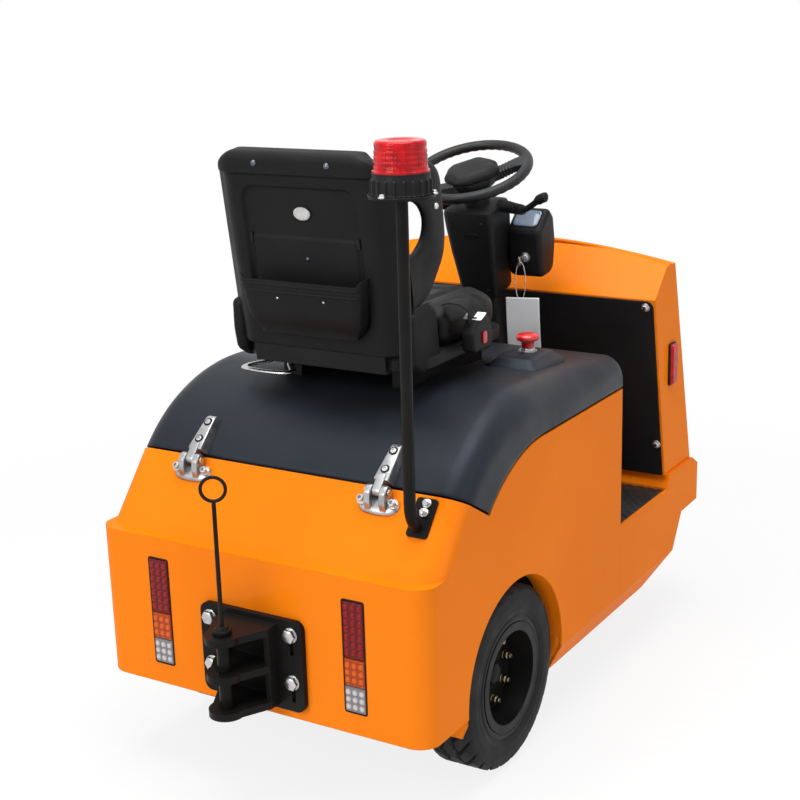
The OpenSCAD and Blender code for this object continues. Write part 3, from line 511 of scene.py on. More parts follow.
def softLevels(low, high, r, steps=5):
    # levels of a slab whose two rims are rounded by r
    a = np.linspace(0, np.pi / 2, steps)
    under = np.stack([r * (1 - np.sin(a)), low + r * (1 - np.cos(a))], -1)
    over = np.stack([r * (1 - np.cos(a)), high - r * (1 - np.sin(a))], -1)
    return np.vstack([under, over])


def uprightSlab(outline, low, high, soft, place=(0, 0, 0), steps=5):
    # outline in (forward, up) carried crosswise between two sides with soft rims
    points, faces = slab(outline, softLevels(low, high, soft, steps))
    return points[:, [2, 0, 1]] + place, faces


def onBack(shape, x=0, y=0, z=0):
    # a shape that stands on Z, laid over so that it faces the rear
    p = shape[0]
    return np.stack([p[:, 0] + x, y - p[:, 2], p[:, 1] + z], -1), shape[1]


def swept(path, outline, side, closed=False):
    # outline in (side, normal) carried along a path; scale changes come as an outline for each station
    p = np.asarray(path, float)
    along = np.roll(p, -1, 0) - np.roll(p, 1, 0) if closed else np.gradient(p, axis=0)
    along = along / np.linalg.norm(along, axis=1, keepdims=True)
    s = np.broadcast_to(np.asarray(side, float), p.shape)
    s = s - (s * along).sum(1, keepdims=True) * along
    s = s / np.linalg.norm(s, axis=1, keepdims=True)
    n = np.cross(along, s)
    o = np.broadcast_to(np.asarray(outline, float), (len(p), *np.shape(outline)[-2:]))
    points = p[:, None] + o[..., :1] * s[:, None] + o[..., 1:] * n[:, None]
    return gridShape(points, wrapU=closed, wrapV=True, lids=() if closed else (0, -1))


def ring(radius, sides):
    # points of a circle
    angle = np.linspace(0, 2 * np.pi, sides, endpoint=False)
    return radius * np.stack([np.cos(angle), np.sin(angle)], -1)


def ramp(value, low, high):
    # smooth step from nought at low to one at high
    t = np.clip((value - low) / (high - low), 0, 1)
    return t * t * (3 - 2 * t)


def boxDistance(x, z, halfX, halfZ, r):
    # signed distance to a rectangle with corners of radius r
    qx, qz = np.abs(x) - halfX + r, np.abs(z) - halfZ + r
    return np.hypot(np.maximum(qx, 0), np.maximum(qz, 0)) + np.minimum(np.maximum(qx, qz), 0) - r


def makePiece(name, shape, body, slot, sharp, instead=(), wall=0.0, turnOut=True, finish=None):
    # a mesh of the shape with edges sharp past an angle; wall is a thickness inwards in mm, instead names the
    # nodes that the piece stands for, and the finish is the slot's own unless another is named
    mesh = bpy.data.meshes.new(name)
    faces = [face for rows in shape[1].values() for face in rows.tolist()]
    mesh.from_pydata(placed(shape[0]).tolist(), [], faces)
    shell = bmesh.new()
    shell.from_mesh(mesh)
    bmesh.ops.remove_doubles(shell, verts=shell.verts, dist=2e-6)
    if turnOut:
        bmesh.ops.recalc_face_normals(shell, faces=shell.faces)
    shell.to_mesh(mesh)
    shell.free()
    mesh.polygons.foreach_set("use_smooth", np.ones(len(mesh.polygons), bool))
    mesh.set_sharp_from_angle(angle=np.radians(sharp))
    mesh.materials.append(finishes[finish] if finish else finishOf(slot))
    piece = bpy.data.objects.new(name, mesh)
    bpy.context.scene.collection.objects.link(piece)
    if wall:
        skin = piece.modifiers.new("wall", "SOLIDIFY")
        skin.thickness, skin.offset = wall / 1000, -1
    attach(piece, body)
    if instead:
        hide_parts(*instead)
    return piece


# fasteners that stand on Z, head upwards
def hexBolt(across, height, washer):
    # six-sided head with a small chamfer, on a washer of a given width
    r = across / np.sqrt(3)
    chamfer = [(r * 0.80, height), (r * 0.92, height - r * 0.06), (r, height - r * 0.16)]
    head = turned([(0, height), *chamfer, (r, 0)], 6)
    base = turned([(0, 0), (washer / 2, 0), (washer / 2, 2.6), (washer / 2 - 0.6, 3.2), (0, 3.2)], 32)
    return joined(base, shifted(head, (0, 0, 3.0)))


def socketBolt(across, height):
    # round head with a six-sided socket
    r = across / 2
    cup = turned([(0, height * 0.45), (r * 0.52, height * 0.45), (r * 0.58, height)], 6)
    rim = turned([(r * 0.5, height), (r * 0.88, height), (r, height - r * 0.14), (r, 0), (0, 0)], 32)
    return joined(cup, rim)


def domeScrew(across, height):
    # quarter round turned about Z, with a raised bar across its top
    a = np.linspace(0, np.pi / 2, 7)
    profile = np.stack([across / 2 * np.cos(a), height * np.sin(a)], -1)
    half, reach = 0.6, across * 0.3
    bar = [(0, -half), (reach, -half), (reach, half), (0, half)]
    cross = bothSides(slab(bar, [(0, height * 0.8), (0, height * 1.02)]))
    return joined(turned(np.vstack([profile, [(0, height)]]), 24), cross)


print("shape tools ready")

# rear tyres: the carcass outline turned about the axle, sunk by narrow grooves between the lugs
tyreSetup = {"radius": 190, "width": 114, "bore": 113.6, "lugs": 26, "groove": 2.4, "deep": 6.5,
             "slant": 0.0075, "axle": (351, 190), "middle": 313}


def tyreShape(s):
    # radius, crosswise place and angle: the outline, less a depth inside slanted grooves across the tread and
    # wavy ones around it, plus a thin bead on the side wall
    r, w, bore = s["radius"], s["width"] / 2, s["bore"]
    half = [(bore, 9 - w), (bore + 9, 9 - w), (bore + 22, 1.5 - w), (r - 34, -w), (r - 12, 4 - w),
            (r - 1.5, 14 - w)]
    corners = half + [(a, -b) for a, b in half[::-1]]
    outline = evened(roundedOutline(corners, [2, 5, 14, 30, 9, 8, 8, 9, 30, 14, 5, 2]), 84)
    rho, x = outline[:, 0, None], outline[:, 1, None]
    angle = np.linspace(0, 2 * np.pi, 520, endpoint=False)[None]
    pitch = 2 * np.pi / s["lugs"]
    phase = angle + np.abs(x) * s["slant"] + np.where(x > 0, pitch / 2, 0)
    away = np.abs((phase / pitch) % 1 - 0.5) * pitch * rho
    cross = (1 - ramp(away, s["groove"], s["groove"] + 2.4)) * ramp(np.abs(x), 13, 18)
    around = (1 - ramp(np.abs(np.abs(x) - 15 - 3 * np.sin(angle * s["lugs"])), 1.6, 3.4))
    bead = 1.2 * (1 - ramp(np.abs(rho - bore - 28), 1.0, 2.2))
    depth = s["deep"] * np.maximum(cross * ramp(rho, r - 15, r - 7), around * ramp(rho, r - 8, r - 3))
    rho = np.where(np.abs(x) < w - 9, rho - depth, rho - 0.55 * depth)
    sunk, raised = 0.35 * depth * ramp(np.abs(x), w - 12, w - 3), bead * ramp(np.abs(x), w - 6, w - 1)
    return rho, x - np.sign(x) * sunk + np.sign(x) * raised, angle


def tyreOn(side, s):
    # the tyre's surface set about the axle on one side
    rho, x, angle = tyreShape(s)
    points = np.stack([side * (s["middle"] + x + 0 * angle), s["axle"][0] + rho * np.cos(angle),
                       s["axle"][1] + rho * np.sin(angle)], -1)
    return gridShape(points, wrapU=True, wrapV=True)


for side, label in ((-1, "left"), (1, "right")):
    makePiece(label + "RearTyre", tyreOn(side, tyreSetup), label + "_wheel", "tyre_rubber", 50,
              ["tyre_" + label])

# wheel nuts on their studs, a hub cap and the outer flange on each rear rim
nutSetup = {"count": 8, "circle": 66, "across": 15.5, "high": 9, "stud": 5.5}


def rimFittings(side, s):
    # nuts on a circle about the axle, and two outlines turned about it
    angle = np.arange(s["count"]) * 2 * np.pi / s["count"] + 0.2
    y, z = tyreSetup["axle"]
    middle = tyreSetup["middle"]
    places = np.stack([0 * angle + side * middle, y + s["circle"] * np.cos(angle),
                       z + s["circle"] * np.sin(angle)], -1)
    stud = turned([(0, 19), (s["stud"] - 1, 19), (s["stud"], 17.5), (s["stud"], 0)], 16)
    nut = joined(hexBolt(s["across"], s["high"], s["across"] * 1.25), stud)
    cap = turned([(0, 17), (14, 16), (21, 12), (24, 6), (25, 0), (29, 0), (29, -6)], 40)
    flange = turned([(110, 36), (110, 48), (113, 51.5), (120, 52.5), (126, 51.5), (129, 49), (128, 46),
                     (116, 46), (114, 36), (110, 36)], 120)
    return (repeated(nut, places, (side, 0, 0)),
            repeated(cap, [(side * (middle + 5.5), y, z)], (side, 0, 0)),
            repeated(flange, [(side * middle, y, z)], (side, 0, 0)))


for side, label in ((-1, "left"), (1, "right")):
    nuts, cap, flange = rimFittings(side, nutSetup)
    makePiece(label + "WheelNuts", nuts, label + "_wheel", "zinc_steel", 30, finish="yellowZinc")
    makePiece(label + "HubCap", cap, label + "_wheel", "black_steel", 30)
    makePiece(label + "RimFlange", flange, label + "_wheel", "black_steel", 60)
print("rear wheels dressed")

# front tyre: smooth sided with a ribbed tread
frontSetup = {"radius": 145, "width": 100, "bore": 95.4, "middle": (1070, 145), "ribs": (-32, -11, 11, 32)}


def frontTyre(s):
    # outline turned about the axle, with a shallow groove all round at each rib's edge
    r, w, bore = s["radius"], s["width"] / 2, s["bore"]
    half = [(bore, 9 - w), (bore + 8, 9 - w), (bore + 16, 1 - w), (r - 14, 2 - w), (r - 2, 14 - w)]
    corners = half + [(a, -b) for a, b in half[::-1]]
    outline = evened(roundedOutline(corners, [2, 4, 8, 10, 9, 9, 10, 8, 4, 2]), 150)
    rho, x = outline.T
    away = np.abs(x[:, None] - np.array(s["ribs"])).min(1)
    rho = rho - 5 * (1 - ramp(away, 1.5, 3.5)) * ramp(rho, r - 8, r - 4)
    angle = np.linspace(0, 2 * np.pi, 128, endpoint=False)[None]
    y, z = s["middle"]
    return gridShape(np.stack([x[:, None] + 0 * angle, y + rho[:, None] * np.cos(angle),
                               z + rho[:, None] * np.sin(angle)], -1), wrapU=True, wrapV=True)


makePiece("frontTyre", frontTyre(frontSetup), "front_wheel", "tyre_rubber", 50, ["front_tyre"])

# hood: one skin that follows the side profile from the rear seam over the back to the front edge
hoodSetup = {"slope": 50, "foot": (28, 503), "brow": 390, "frontZ": 740, "fall": 4, "frontY": 857, "nose": 24,
             "half": 380, "roundBack": 48, "roundTop": 66, "roundNose": 38, "tip": (239, 573), "seamFall": 31,
             "seamZ": 667, "seamArc": 328, "gap": 2.5, "wall": 6}


def hoodShape(s):
    # stations along the profile; at each one a level run across, a quarter round of the station's own
    # radius down each edge, and a plain side that ends on the seam
    slope, fall = np.radians(s["slope"]), np.radians(s["fall"])
    up, top = np.array([np.cos(slope), np.sin(slope)]), np.array([np.cos(fall), -np.sin(fall)])
    foot = np.array(s["foot"], float)
    crest = np.array([s["frontY"], s["frontZ"]], float)
    brow = np.linalg.solve(np.stack([up, top], -1), crest - foot)
    corner = foot + up * brow[0]
    seamDrop = np.tan(np.radians(s["seamFall"]))
    tip = np.array(s["tip"], float) + (0, s["gap"])
    seamZ = s["seamZ"] + s["gap"]
    inside = (500, 500)
    bent = roundedOutline([foot, corner, crest, (s["frontY"], seamZ), inside],
                          [0, s["brow"], s["nose"], 0, 0], 40)
    path = evened(np.vstack([[foot], bent[41:124]]), 1200, closed=False)
    path = path[path[:, 1] - tip[1] - (tip[0] - path[:, 0]) * seamDrop >= 0]
    rows = 120
    spine = evened(path, rows, closed=False)
    along = np.gradient(spine, axis=0)
    along = along / np.linalg.norm(along, axis=1, keepdims=True)
    inward = np.stack([along[:, 1], -along[:, 0]], -1)
    share = np.linspace(0, 1, rows)
    front = ramp(spine[:, 0], s["frontY"] - 60, s["frontY"] - 22)
    # near the front the round drops straight down, so that the nose keeps one flat face
    inward = inward * (1 - front)[:, None] + np.array([0.0, -1.0]) * front[:, None]
    inward = inward / np.linalg.norm(inward, axis=1, keepdims=True)
    radius = s["roundBack"] + (s["roundTop"] - s["roundBack"]) * ramp(share, 0.05, 0.5)
    radius = radius + (s["roundNose"] - s["roundTop"]) * ramp(share, 0.60, 0.93)
    turn = np.linspace(0, np.pi / 2, 11)
    depth = radius[:, None] * (1 - np.cos(turn))[None]
    reach = s["half"] - radius[:, None] * (1 - np.sin(turn))[None]
    # the first rows follow the seam round the corner: deeper lines start further up the slope
    lag = -depth[0] * (inward[0, 1] + inward[0, 0] * seamDrop) / (along[0, 1] + along[0, 0] * seamDrop)
    slide = lag[None] * (1 - ramp(share, 0.0, 0.35))[:, None]
    edge = spine[:, None] + inward[:, None] * depth[..., None] + along[:, None] * slide[..., None]
    edge[60:, :, 1] = np.maximum(edge[60:, :, 1], spine[-1, 1])
    low = edge[0, -1]
    arcY = s["tip"][0] + np.sqrt(s["seamArc"] ** 2 - (s["seamArc"] - s["seamZ"] + s["tip"][1]) ** 2)
    swing = np.linspace(np.arcsin((s["tip"][0] - arcY) / s["seamArc"]), 0, 40)
    arcZ = seamZ - s["seamArc"]
    arc = np.stack([arcY + s["seamArc"] * np.sin(swing), arcZ + s["seamArc"] * np.cos(swing)], -1)
    seam = np.vstack([np.linspace(low, tip, 16)[:-1], arc, np.linspace(arc[-1], spine[-1], 30)[1:]])
    # each row ends on the seam straight below its edge, one of them on the tip
    level = edge[:, -1, 0]
    seam = np.stack([level, np.interp(level, seam[:, 0], seam[:, 1])], -1)
    seam[np.abs(level - tip[0]).argmin()] = tip
    mix = np.linspace(0, 1, 9)[None, 1:, None]
    flank = edge[:, -1:] * (1 - mix) + seam[:, None] * mix
    run = np.linspace(0, 1, 16)[None, :-1] * (s["half"] - radius)[:, None]
    flat = np.concatenate([run[..., None], np.broadcast_to(spine[:, None], (rows, 15, 2))], -1)
    bend = np.concatenate([reach[..., None], edge], -1)
    wallSide = np.concatenate([np.full((rows, 8, 1), float(s["half"])), flank], -1)
    right = np.concatenate([flat, bend, wallSide], 1)
    left = right[:, :0:-1] * (-1, 1, 1)
    return gridShape(np.concatenate([left, right], 1)[:, ::-1])


makePiece("hoodSkin", hoodShape(hoodSetup), "hood_lid", "black_hood", 50, ["hood"], wall=hoodSetup["wall"],
          turnOut=False)

# raised pad of the stop button and the button itself
stopPlace = (245, 668, 776)


def stopPad():
    # rounded squares of shrinking size and their own corner radius, stacked from foot to top
    halves = (64, 63, 61, 58, 45, 43, 40, 14)
    corners = (16, 16, 16, 16, 15, 14, 13, 5)
    heights = (-34, -20, -16, -14, -3, -1, 0, 0.4)
    return stacked([box(-a, a, -26 - a, a - 4, r, 6) for a, r in zip(halves, corners)], heights)


makePiece("stopPad", shifted(stopPad(), stopPlace), "hood_lid", "black_hood", 35)
stopHead = turned([(0, 40), (10, 39.4), (17, 38), (22.5, 35), (24.6, 31.5), (24.4, 28), (21.5, 25),
                   (17, 23.4), (13.6, 20.5), (12.6, 14), (13.2, 8), (13.2, 5)], 56)
stopCollar = turned([(13, 9), (15.4, 8), (16.4, 6), (16.4, 3.5), (20, 3), (20, 0), (11, 0)], 48)
makePiece("stopHead", shifted(stopHead, stopPlace), "hood_lid", "red_button", 40, ["stop_button"])
makePiece("stopCollar", shifted(stopCollar, stopPlace), "hood_lid", "cast_alloy", 40)
print("hood and stop button made")

# beacon: fluted red lens, ribbed base and the plate that carries them
beaconSetup = {"place": (312, 66.7), "foot": 1188, "lens": 46.5, "lensHigh": 53, "base": 37}


def beaconLens(s):
    # outline turned about the pole, with stacked rings and a fine upright flute
    h = np.linspace(0, s["lensHigh"], 90)[:, None]
    angle = np.linspace(0, 2 * np.pi, 192, endpoint=False)[None]
    r = s["lens"] - 2.4 * (h / s["lensHigh"]) ** 1.3
    r = r - 1.3 * np.abs(np.sin(np.pi * h / 8.6)) ** 0.6 * ramp(h, 5, 9) * (1 - ramp(h, 42, 46))
    r = r + 0.4 * np.cos(angle * 48) * ramp(h, 8, 12) * (1 - ramp(h, 34, 40))
    r = r + 2.2 * (1 - ramp(h, 3, 4.5))
    r = r - 6 * (1 - np.sqrt(np.clip(1 - np.clip((h - 47) / 6, 0, 1) ** 2, 0, 1)))
    points = np.stack([r * np.cos(angle), r * np.sin(angle), h + 0 * angle], -1)
    top = s["lensHigh"]
    crown = turned([(s["lens"] - 8.4, top), (22, top - 0.8), (20, top - 2), (0, top - 1.6)], 192)
    return joined(gridShape(points, wrapV=True, lids=(0,)), crown)


def beaconBase(s):
    # short drum with upright ribs all round and a plain collar on top
    h = np.array([0, 1, 3, 24, 26, 27, s["base"]])[:, None]
    angle = np.linspace(0, 2 * np.pi, 360, endpoint=False)[None]
    ribs = ramp(np.cos(angle * 20), 0.55, 0.8)
    plain = np.array([52, 53, 50, 50, 50, 49.5, 49.5])[:, None]
    swell = np.array([1, 1, 1, 1, 0.4, 0, 0])[:, None]
    r = plain + 3.2 * ribs * swell
    points = np.stack([r * np.cos(angle), r * np.sin(angle), h + 0 * angle], -1)
    return gridShape(points, wrapV=True, lids=(0, -1))


beaconTop = (*beaconSetup["place"], beaconSetup["foot"])
lensPlace = (*beaconSetup["place"], beaconSetup["foot"] + beaconSetup["base"])
makePiece("beaconLens", shifted(beaconLens(beaconSetup), lensPlace), "chassis", "red_lens", 35,
          ["beacon_lens"])
makePiece("beaconBase", shifted(beaconBase(beaconSetup), beaconTop), "chassis", "black_plastic", 35,
          ["beacon_base"])

# pole: a tube bent up from its foot plate, with the beacon's plate on top
poleSetup = {"radius": 11, "bend": 62, "foot": (94.3, 582), "stub": 36}


def poleShape(s):
    # straight out of the slope, an arc up and a long upright
    slope = np.radians(hoodSetup["slope"])
    foot = np.array(s["foot"], float)
    out = np.array([-np.sin(slope), np.cos(slope)])
    start, elbow = foot + out, foot + out * s["stub"]
    top, behind = (elbow[0], beaconSetup["foot"] - 4), (-900, 700)
    bend = roundedOutline([start, elbow, top, behind], [0, s["bend"], 0, 0], 16)[17:34]
    route = np.vstack([[start], bend, [(elbow[0], 900)], [top]])
    path = np.concatenate([np.full((len(route), 1), float(beaconSetup["place"][0])), route], 1)
    return swept(path, ring(s["radius"], 28), (1, 0, 0))


poleTop = turned([(0, -6), (57, -6), (58, -5), (58, -1), (57, 0), (0, 0)], 64)
footPlate = onBack(slab(box(-20, 24, -18, 59, 7), [(0.8, 0), (0, 0.8), (0, 4.2), (0.8, 5)]))
slopeTurn = hoodSetup["slope"] - 90
footPlace = (beaconSetup["place"][0], *poleSetup["foot"])
pole = joined(poleShape(poleSetup), shifted(poleTop, beaconTop), tilted(footPlate, footPlace, slopeTurn))
makePiece("beaconPole", pole, "chassis", "black_steel", 35, ["beacon_pole"])
poleFootBolts = repeated(hexBolt(13, 6, 18), [(4, -5, 30), (4, -5, 48)], (0, -1, 0))
plateAngle = np.radians([25, 145, 265])
plateCircle = np.stack([55 * np.cos(plateAngle), 55 * np.sin(plateAngle), 0 * plateAngle - 1], -1)
plateBolts = repeated(hexBolt(8, 4, 13), plateCircle + beaconTop, (0, 0, 1))
poleBolts = joined(tilted(poleFootBolts, footPlace, slopeTurn), plateBolts)
makePiece("poleBolts", poleBolts, "chassis", "zinc_steel", 30)
print("beacon and pole made")

# tail lamps: each lens a flat block whose face swells into rows of small domes
tailSetup = {"x": 226, "wide": 45, "pitch": 14.6, "bezel": (0.9, 1.4),
             "levels": {"red": (346, 459), "amber": (290, 346), "clear": (238, 290)}}


def tailLens(low, high, s):
    # face height = a soft-edged block plus a dome in each cell of a square lattice
    u = np.linspace(-s["wide"] / 2, s["wide"] / 2, 61)[None]
    v = np.linspace(low + 0.4, high - 0.4, int((high - low) * 1.4))[:, None]
    middle = (low + high) / 2
    rim = -boxDistance(u, v - middle, s["wide"] / 2, (high - low) / 2 - 0.4, 2.5)
    cellU, cellV = ((c / s["pitch"] + 0.5) % 1 - 0.5 for c in (u, v - middle))
    dome = np.sqrt(np.clip(0.19 - cellU ** 2 - cellV ** 2, 0, 1)) * 6.5
    y = -2.2 * np.sqrt(np.clip(1 - np.clip(1 - rim / 2.5, 0, 1) ** 2, 0, 1)) - dome * ramp(rim, 1.0, 3.0)
    y[:, [0, -1]], y[[0, -1]] = 9, 9
    return gridShape(np.stack([u + s["x"] + 0 * v, y, v + 0 * u], -1))


def tailBezel(s):
    # thin bead round the three lenses
    reach, rise = s["wide"] / 2 + s["bezel"][0], s["bezel"][1]
    low, high = s["levels"]["clear"][0] - rise, s["levels"]["red"][1] + rise
    u, v = box(s["x"] - reach, s["x"] + reach, low, high, 4, 5).T
    return swept(np.stack([u, 0 * u - 0.6, v], -1), ring(1.5, 8), (0, 1, 0), closed=True)


for label, levels in tailSetup["levels"].items():
    makePiece(label + "TailLens", bothSides(tailLens(*levels, tailSetup)), "chassis", label + "_lens", 60,
              ["tail_lamps_" + label], finish="tail" + label.title())
makePiece("tailBezels", bothSides(tailBezel(tailSetup)), "chassis", "black_plastic", 60)

# jaw bolts on washers
jawPlaces = [(x, -12, z) for x in (-94, 94) for z in (274, 370)]
jawBolts = repeated(hexBolt(24, 10, 30), jawPlaces, (0, -1, 0))
makePiece("jawBolts", jawBolts, "chassis", "zinc_steel", 30)

# hood hinges in the pin's frame (across, into the slope, up the slope)
hingeSetup = {"x": 217, "pin": (111.69, 633.86), "out": 20, "foot": (43, 20, -21), "ears": (9.5, 23),
              "arm": (20, 100), "armBolts": [(0, -1.4, 44), (0, 6.0, 84)],
              "armFacing": (0, -0.982, 0.189)}


def hingeFoot(s):
    # flat-topped dome over a squarish oval
    halfX, halfZ, mid = s["foot"]
    r, a = np.linspace(0, 1, 24)[:, None], np.linspace(0, 2 * np.pi, 72, endpoint=False)[None]
    c, d = (np.sign(f) * np.abs(f) ** 0.8 for f in (np.cos(a), np.sin(a)))
    high = 9 * np.sqrt(1 - r ** 4)
    points = np.stack([halfX * r * c, s["out"] + 0.5 - high + 0 * a, mid + halfZ * r * d], -1)
    return gridShape(points, wrapV=True, lids=(-1,))


def hingeArm(s):
    # stations up the slope; at each a trapezoid that is broader where it meets the hood
    t = np.array([0, 0.02, 0.06, 0.3, 0.6, 0.9, 0.96, 1.0])
    z = s["arm"][0] + (s["arm"][1] - s["arm"][0]) * t
    face = -6 + 15 * t + 4 * np.array([1, 0.3, 0, 0, 0, 0, 0.3, 1])
    top, low = 15.5 - 5 * t, 18 - 3 * t
    rows = [roundedOutline([(-a, f), (a, f), (b, 30 + 18 * k), (-b, 30 + 18 * k)], [3, 3, 1, 1], 5)
            for a, b, f, k in zip(top, low, face, t)]
    return stacked(rows, z)


def onHinges(shape):
    # a copy of the shape at each of the two hinges, turned with the slope
    sides = (-hingeSetup["x"], hingeSetup["x"])
    return joined(*[tilted(shape, (x, *hingeSetup["pin"]), slopeTurn) for x in sides])


earOutline = roundedOutline([(20, -38), (20, 3), (5, 12), (-11, 11), (-11, -9), (0, -26)],
                            [1, 2, 8, 10, 9, 12], 6)
ears = bothSides(uprightSlab(earOutline, *hingeSetup["ears"], 2))
pinOutline = [(0, 0), (6, 0), (7, 1), (7, 3), (4.5, 3.2), (4.5, 50.8), (7, 51), (7, 53), (6, 54), (0, 54)]
hingePin = repeated(turned(pinOutline, 24), [(-27, 0, 0)], (1, 0, 0))
tongueOutline = roundedOutline([(-9.5, -9.5), (9.5, -9.5), (13, 30), (-7, 34)], [9.4, 9.4, 2, 2], 8)
tongue = uprightSlab(tongueOutline, -8.8, 8.8, 1.5)
footBolt = joined(turned([(0, 2), (10, 2), (10, 0), (0, 0)], 32), shifted(socketBolt(14, 9), (0, 0, 2)))
footBolts = repeated(footBolt, [(-34, 11.6, -17), (34, 11.6, -17)], (0, -1, 0))
# dark discs under the arm bolts: painted shade of the recesses the bolts sit in
armRecessShade = turned([(0, 0.9), (8.4, 0.9), (9, 0.5), (9, -3), (0, -3)], 36)
armRecesses, armBolts = (repeated(shape, hingeSetup["armBolts"], hingeSetup["armFacing"])
                         for shape in (armRecessShade, socketBolt(12, 2.6)))
hingeFeet, hingeArms = joined(hingeFoot(hingeSetup), ears), joined(hingeArm(hingeSetup), tongue)
makePiece("hingeFeet", onHinges(hingeFeet), "chassis", "cast_alloy", 35, ["hinge_lugs"])
makePiece("hingeArms", onHinges(hingeArms), "hood_lid", "cast_alloy", 35, ["hinge_arms"])
makePiece("hingePins", onHinges(hingePin), "chassis", "zinc_steel", 35)
makePiece("footBolts", onHinges(footBolts), "chassis", "zinc_steel", 30)
makePiece("armRecesses", onHinges(armRecesses), "hood_lid", "black_steel", 30)
makePiece("armBolts", onHinges(armBolts), "hood_lid", "zinc_steel", 30)
print("lamps, jaw and hinges made")

# tow pin: a pin with a collar, a thin rod and the ring it is pulled by
towSetup = {"y": -96, "low": 220, "top": 386.4, "rod": (398, 645), "ring": (667.5, 22.6, 3.3), "turn": 32}


def towPin(s):
    # three outlines turned about the pin's axis, and a wire round an upright circle
    pin = turned([(0, s["low"]), (10, s["low"]), (12.5, s["low"] + 6), (12.5, s["top"]), (0, s["top"])], 40)
    collar = [(0, 0), (17, 0), (18, 1), (18, 9), (17, 10), (13, 10.6), (12, 15), (11, 16), (0, 16)]
    rod = turned([(0, s["rod"][0]), (4.4, s["rod"][0]), (4.0, s["rod"][1]), (0, s["rod"][1])], 20)
    mid, r, wire = s["ring"]
    a, t = np.linspace(0, 2 * np.pi, 64, endpoint=False), np.radians(s["turn"])
    circle = np.stack([r * np.cos(a) * np.cos(t), r * np.cos(a) * np.sin(t), mid + r * np.sin(a)], -1)
    loop = swept(circle, ring(wire, 14), (-np.sin(t), np.cos(t), 0), closed=True)
    collar = shifted(turned(collar, 40), (0, 0, s["top"]))
    return shifted(joined(pin, collar, rod, loop), (0, s["y"], 0))


makePiece("towPin", towPin(towSetup), "pin", "black_steel", 35, ["tow_pin"])
print("tow pin made")

# seat: everything in the backrest's own frame (x, forward, up along the lean)
backSetup = {"origin": (0, 308, 816), "lean": 8, "deep": 55, "half": 160, "wide": 204, "side": -18,
             "wall": 7, "foot": 40, "top": 428, "corner": 44, "cap": 42, "proud": 9,
             "recess": (134, 142, 222, 34), "sunk": 6.5, "crease": 262}


def backPlaced(shape):
    # from the backrest's own frame to the sketch's
    return tilted(shape, backSetup["origin"], backSetup["lean"])


def shellShape(s):
    # plan curve from the right front edge round the back to the left, carried up the lean; the skin stands
    # proud at the cap, sinks in the framed panel and rolls over the top
    corners = roundedOutline([(s["wide"], s["side"]), (s["half"], -s["deep"]), (-s["half"], -s["deep"]),
                              (-s["wide"], s["side"]), (0, 600)], [1, s["corner"], s["corner"], 1, 1], 24)
    plan = evened(corners[12:89], 161, closed=False)
    along = np.gradient(plan, axis=0)
    out = np.stack([-along[:, 1], along[:, 0]], -1) / np.linalg.norm(along, axis=1, keepdims=True)
    out = out * np.sign(-out[80, 1])
    roll = np.linspace(0, np.pi / 2, 9)[1:]
    rows, rim = 180, 16
    z = np.concatenate([np.linspace(s["foot"], s["top"] - rim, rows), s["top"] - rim + rim * np.sin(roll),
                        np.full(5, s["top"])])
    inward = np.concatenate([np.zeros(rows), rim * (1 - np.cos(roll)), rim + np.linspace(4, 20, 5)])
    x, high = plan[None, :, 0], z[:, None]
    # upper corners of the outline drop away in a broad round
    drop = 34 * ramp(np.abs(x), 120, 206) ** 2
    high = s["foot"] + (high - s["foot"]) * (1 - drop / (s["top"] - s["foot"]))
    halfX, halfZ, midZ, r = s["recess"]
    inside = -boxDistance(x, high - midZ, halfX, halfZ, r)
    back = ramp(-plan[None, :, 1], s["deep"] - 14, s["deep"] - 2)
    capFoot = s["top"] - s["cap"]
    relief = s["proud"] * (1 - 0.8 * ramp(np.abs(x), 170, 205)) * ramp(high, capFoot - 3, capFoot + 1)
    relief = relief - s["sunk"] * ramp(inside, 0, 9) * back
    relief = relief + 3.2 * back * ramp(inside, 14, 18) * (1 - ramp(high, s["crease"] - 2, s["crease"] + 2))
    relief = relief - 1.4 * (1 - ramp(np.abs(high - capFoot + 4), 0.8, 2.4))
    relief = relief * (1 - ramp(inward, 8, 16))[:, None] + s["proud"] * ramp(inward, 8, 16)[:, None]
    offset = relief - inward[:, None]
    points = np.stack([x + offset * out[None, :, 0], plan[None, :, 1] + offset * out[None, :, 1],
                       high + 0 * x], -1)
    return gridShape(points)


makePiece("backShell", backPlaced(shellShape(backSetup)), "hood_lid", "black_plastic", 50, ["backrest_shell"],
          wall=backSetup["wall"], turnOut=False, finish="seatPlastic")

# screws on the cap, a blank oval badge, and clips at the ends of the crease
badge = slab(ring(1.0, 48) * (19, 13), [(0, 0), (0, 1.2), (1.2, 2.2), (3, 2.6), (7, 2.8)])
badgeRim = slab(ring(1.0, 48) * (22, 16), [(0, 0), (0, 1.4), (2, 2.0)])
panelY = backSetup["sunk"] - backSetup["deep"]
capY = 0.2 - backSetup["deep"] - backSetup["proud"]
makePiece("badgeRim", backPlaced(onBack(badgeRim, 2, panelY, 310)), "hood_lid", "black_plastic", 40)
makePiece("blankBadge", backPlaced(onBack(badge, 2, panelY - 0.6, 310)), "hood_lid", "clear_lens", 40,
          finish="badgeFoil")
capScrews = joined(*[onBack(domeScrew(13, 4), x, capY, 407) for x in (-84, 80)],
                   onBack(domeScrew(8, 2.4), 4, panelY - 3.0, 222))
makePiece("capScrews", backPlaced(capScrews), "hood_lid", "zinc_steel", 40, finish="screwSteel")
wingScrews = joined(*[repeated(domeScrew(14, 4), [(sx * 211, 90, 296)], (sx, 0, 0)) for sx in (-1, 1)])
makePiece("wingScrews", backPlaced(wingScrews), "hood_lid", "zinc_steel", 40)
clip = slab(box(-4, 4, -10, 10, 2), softLevels(0, 5, 1.5))
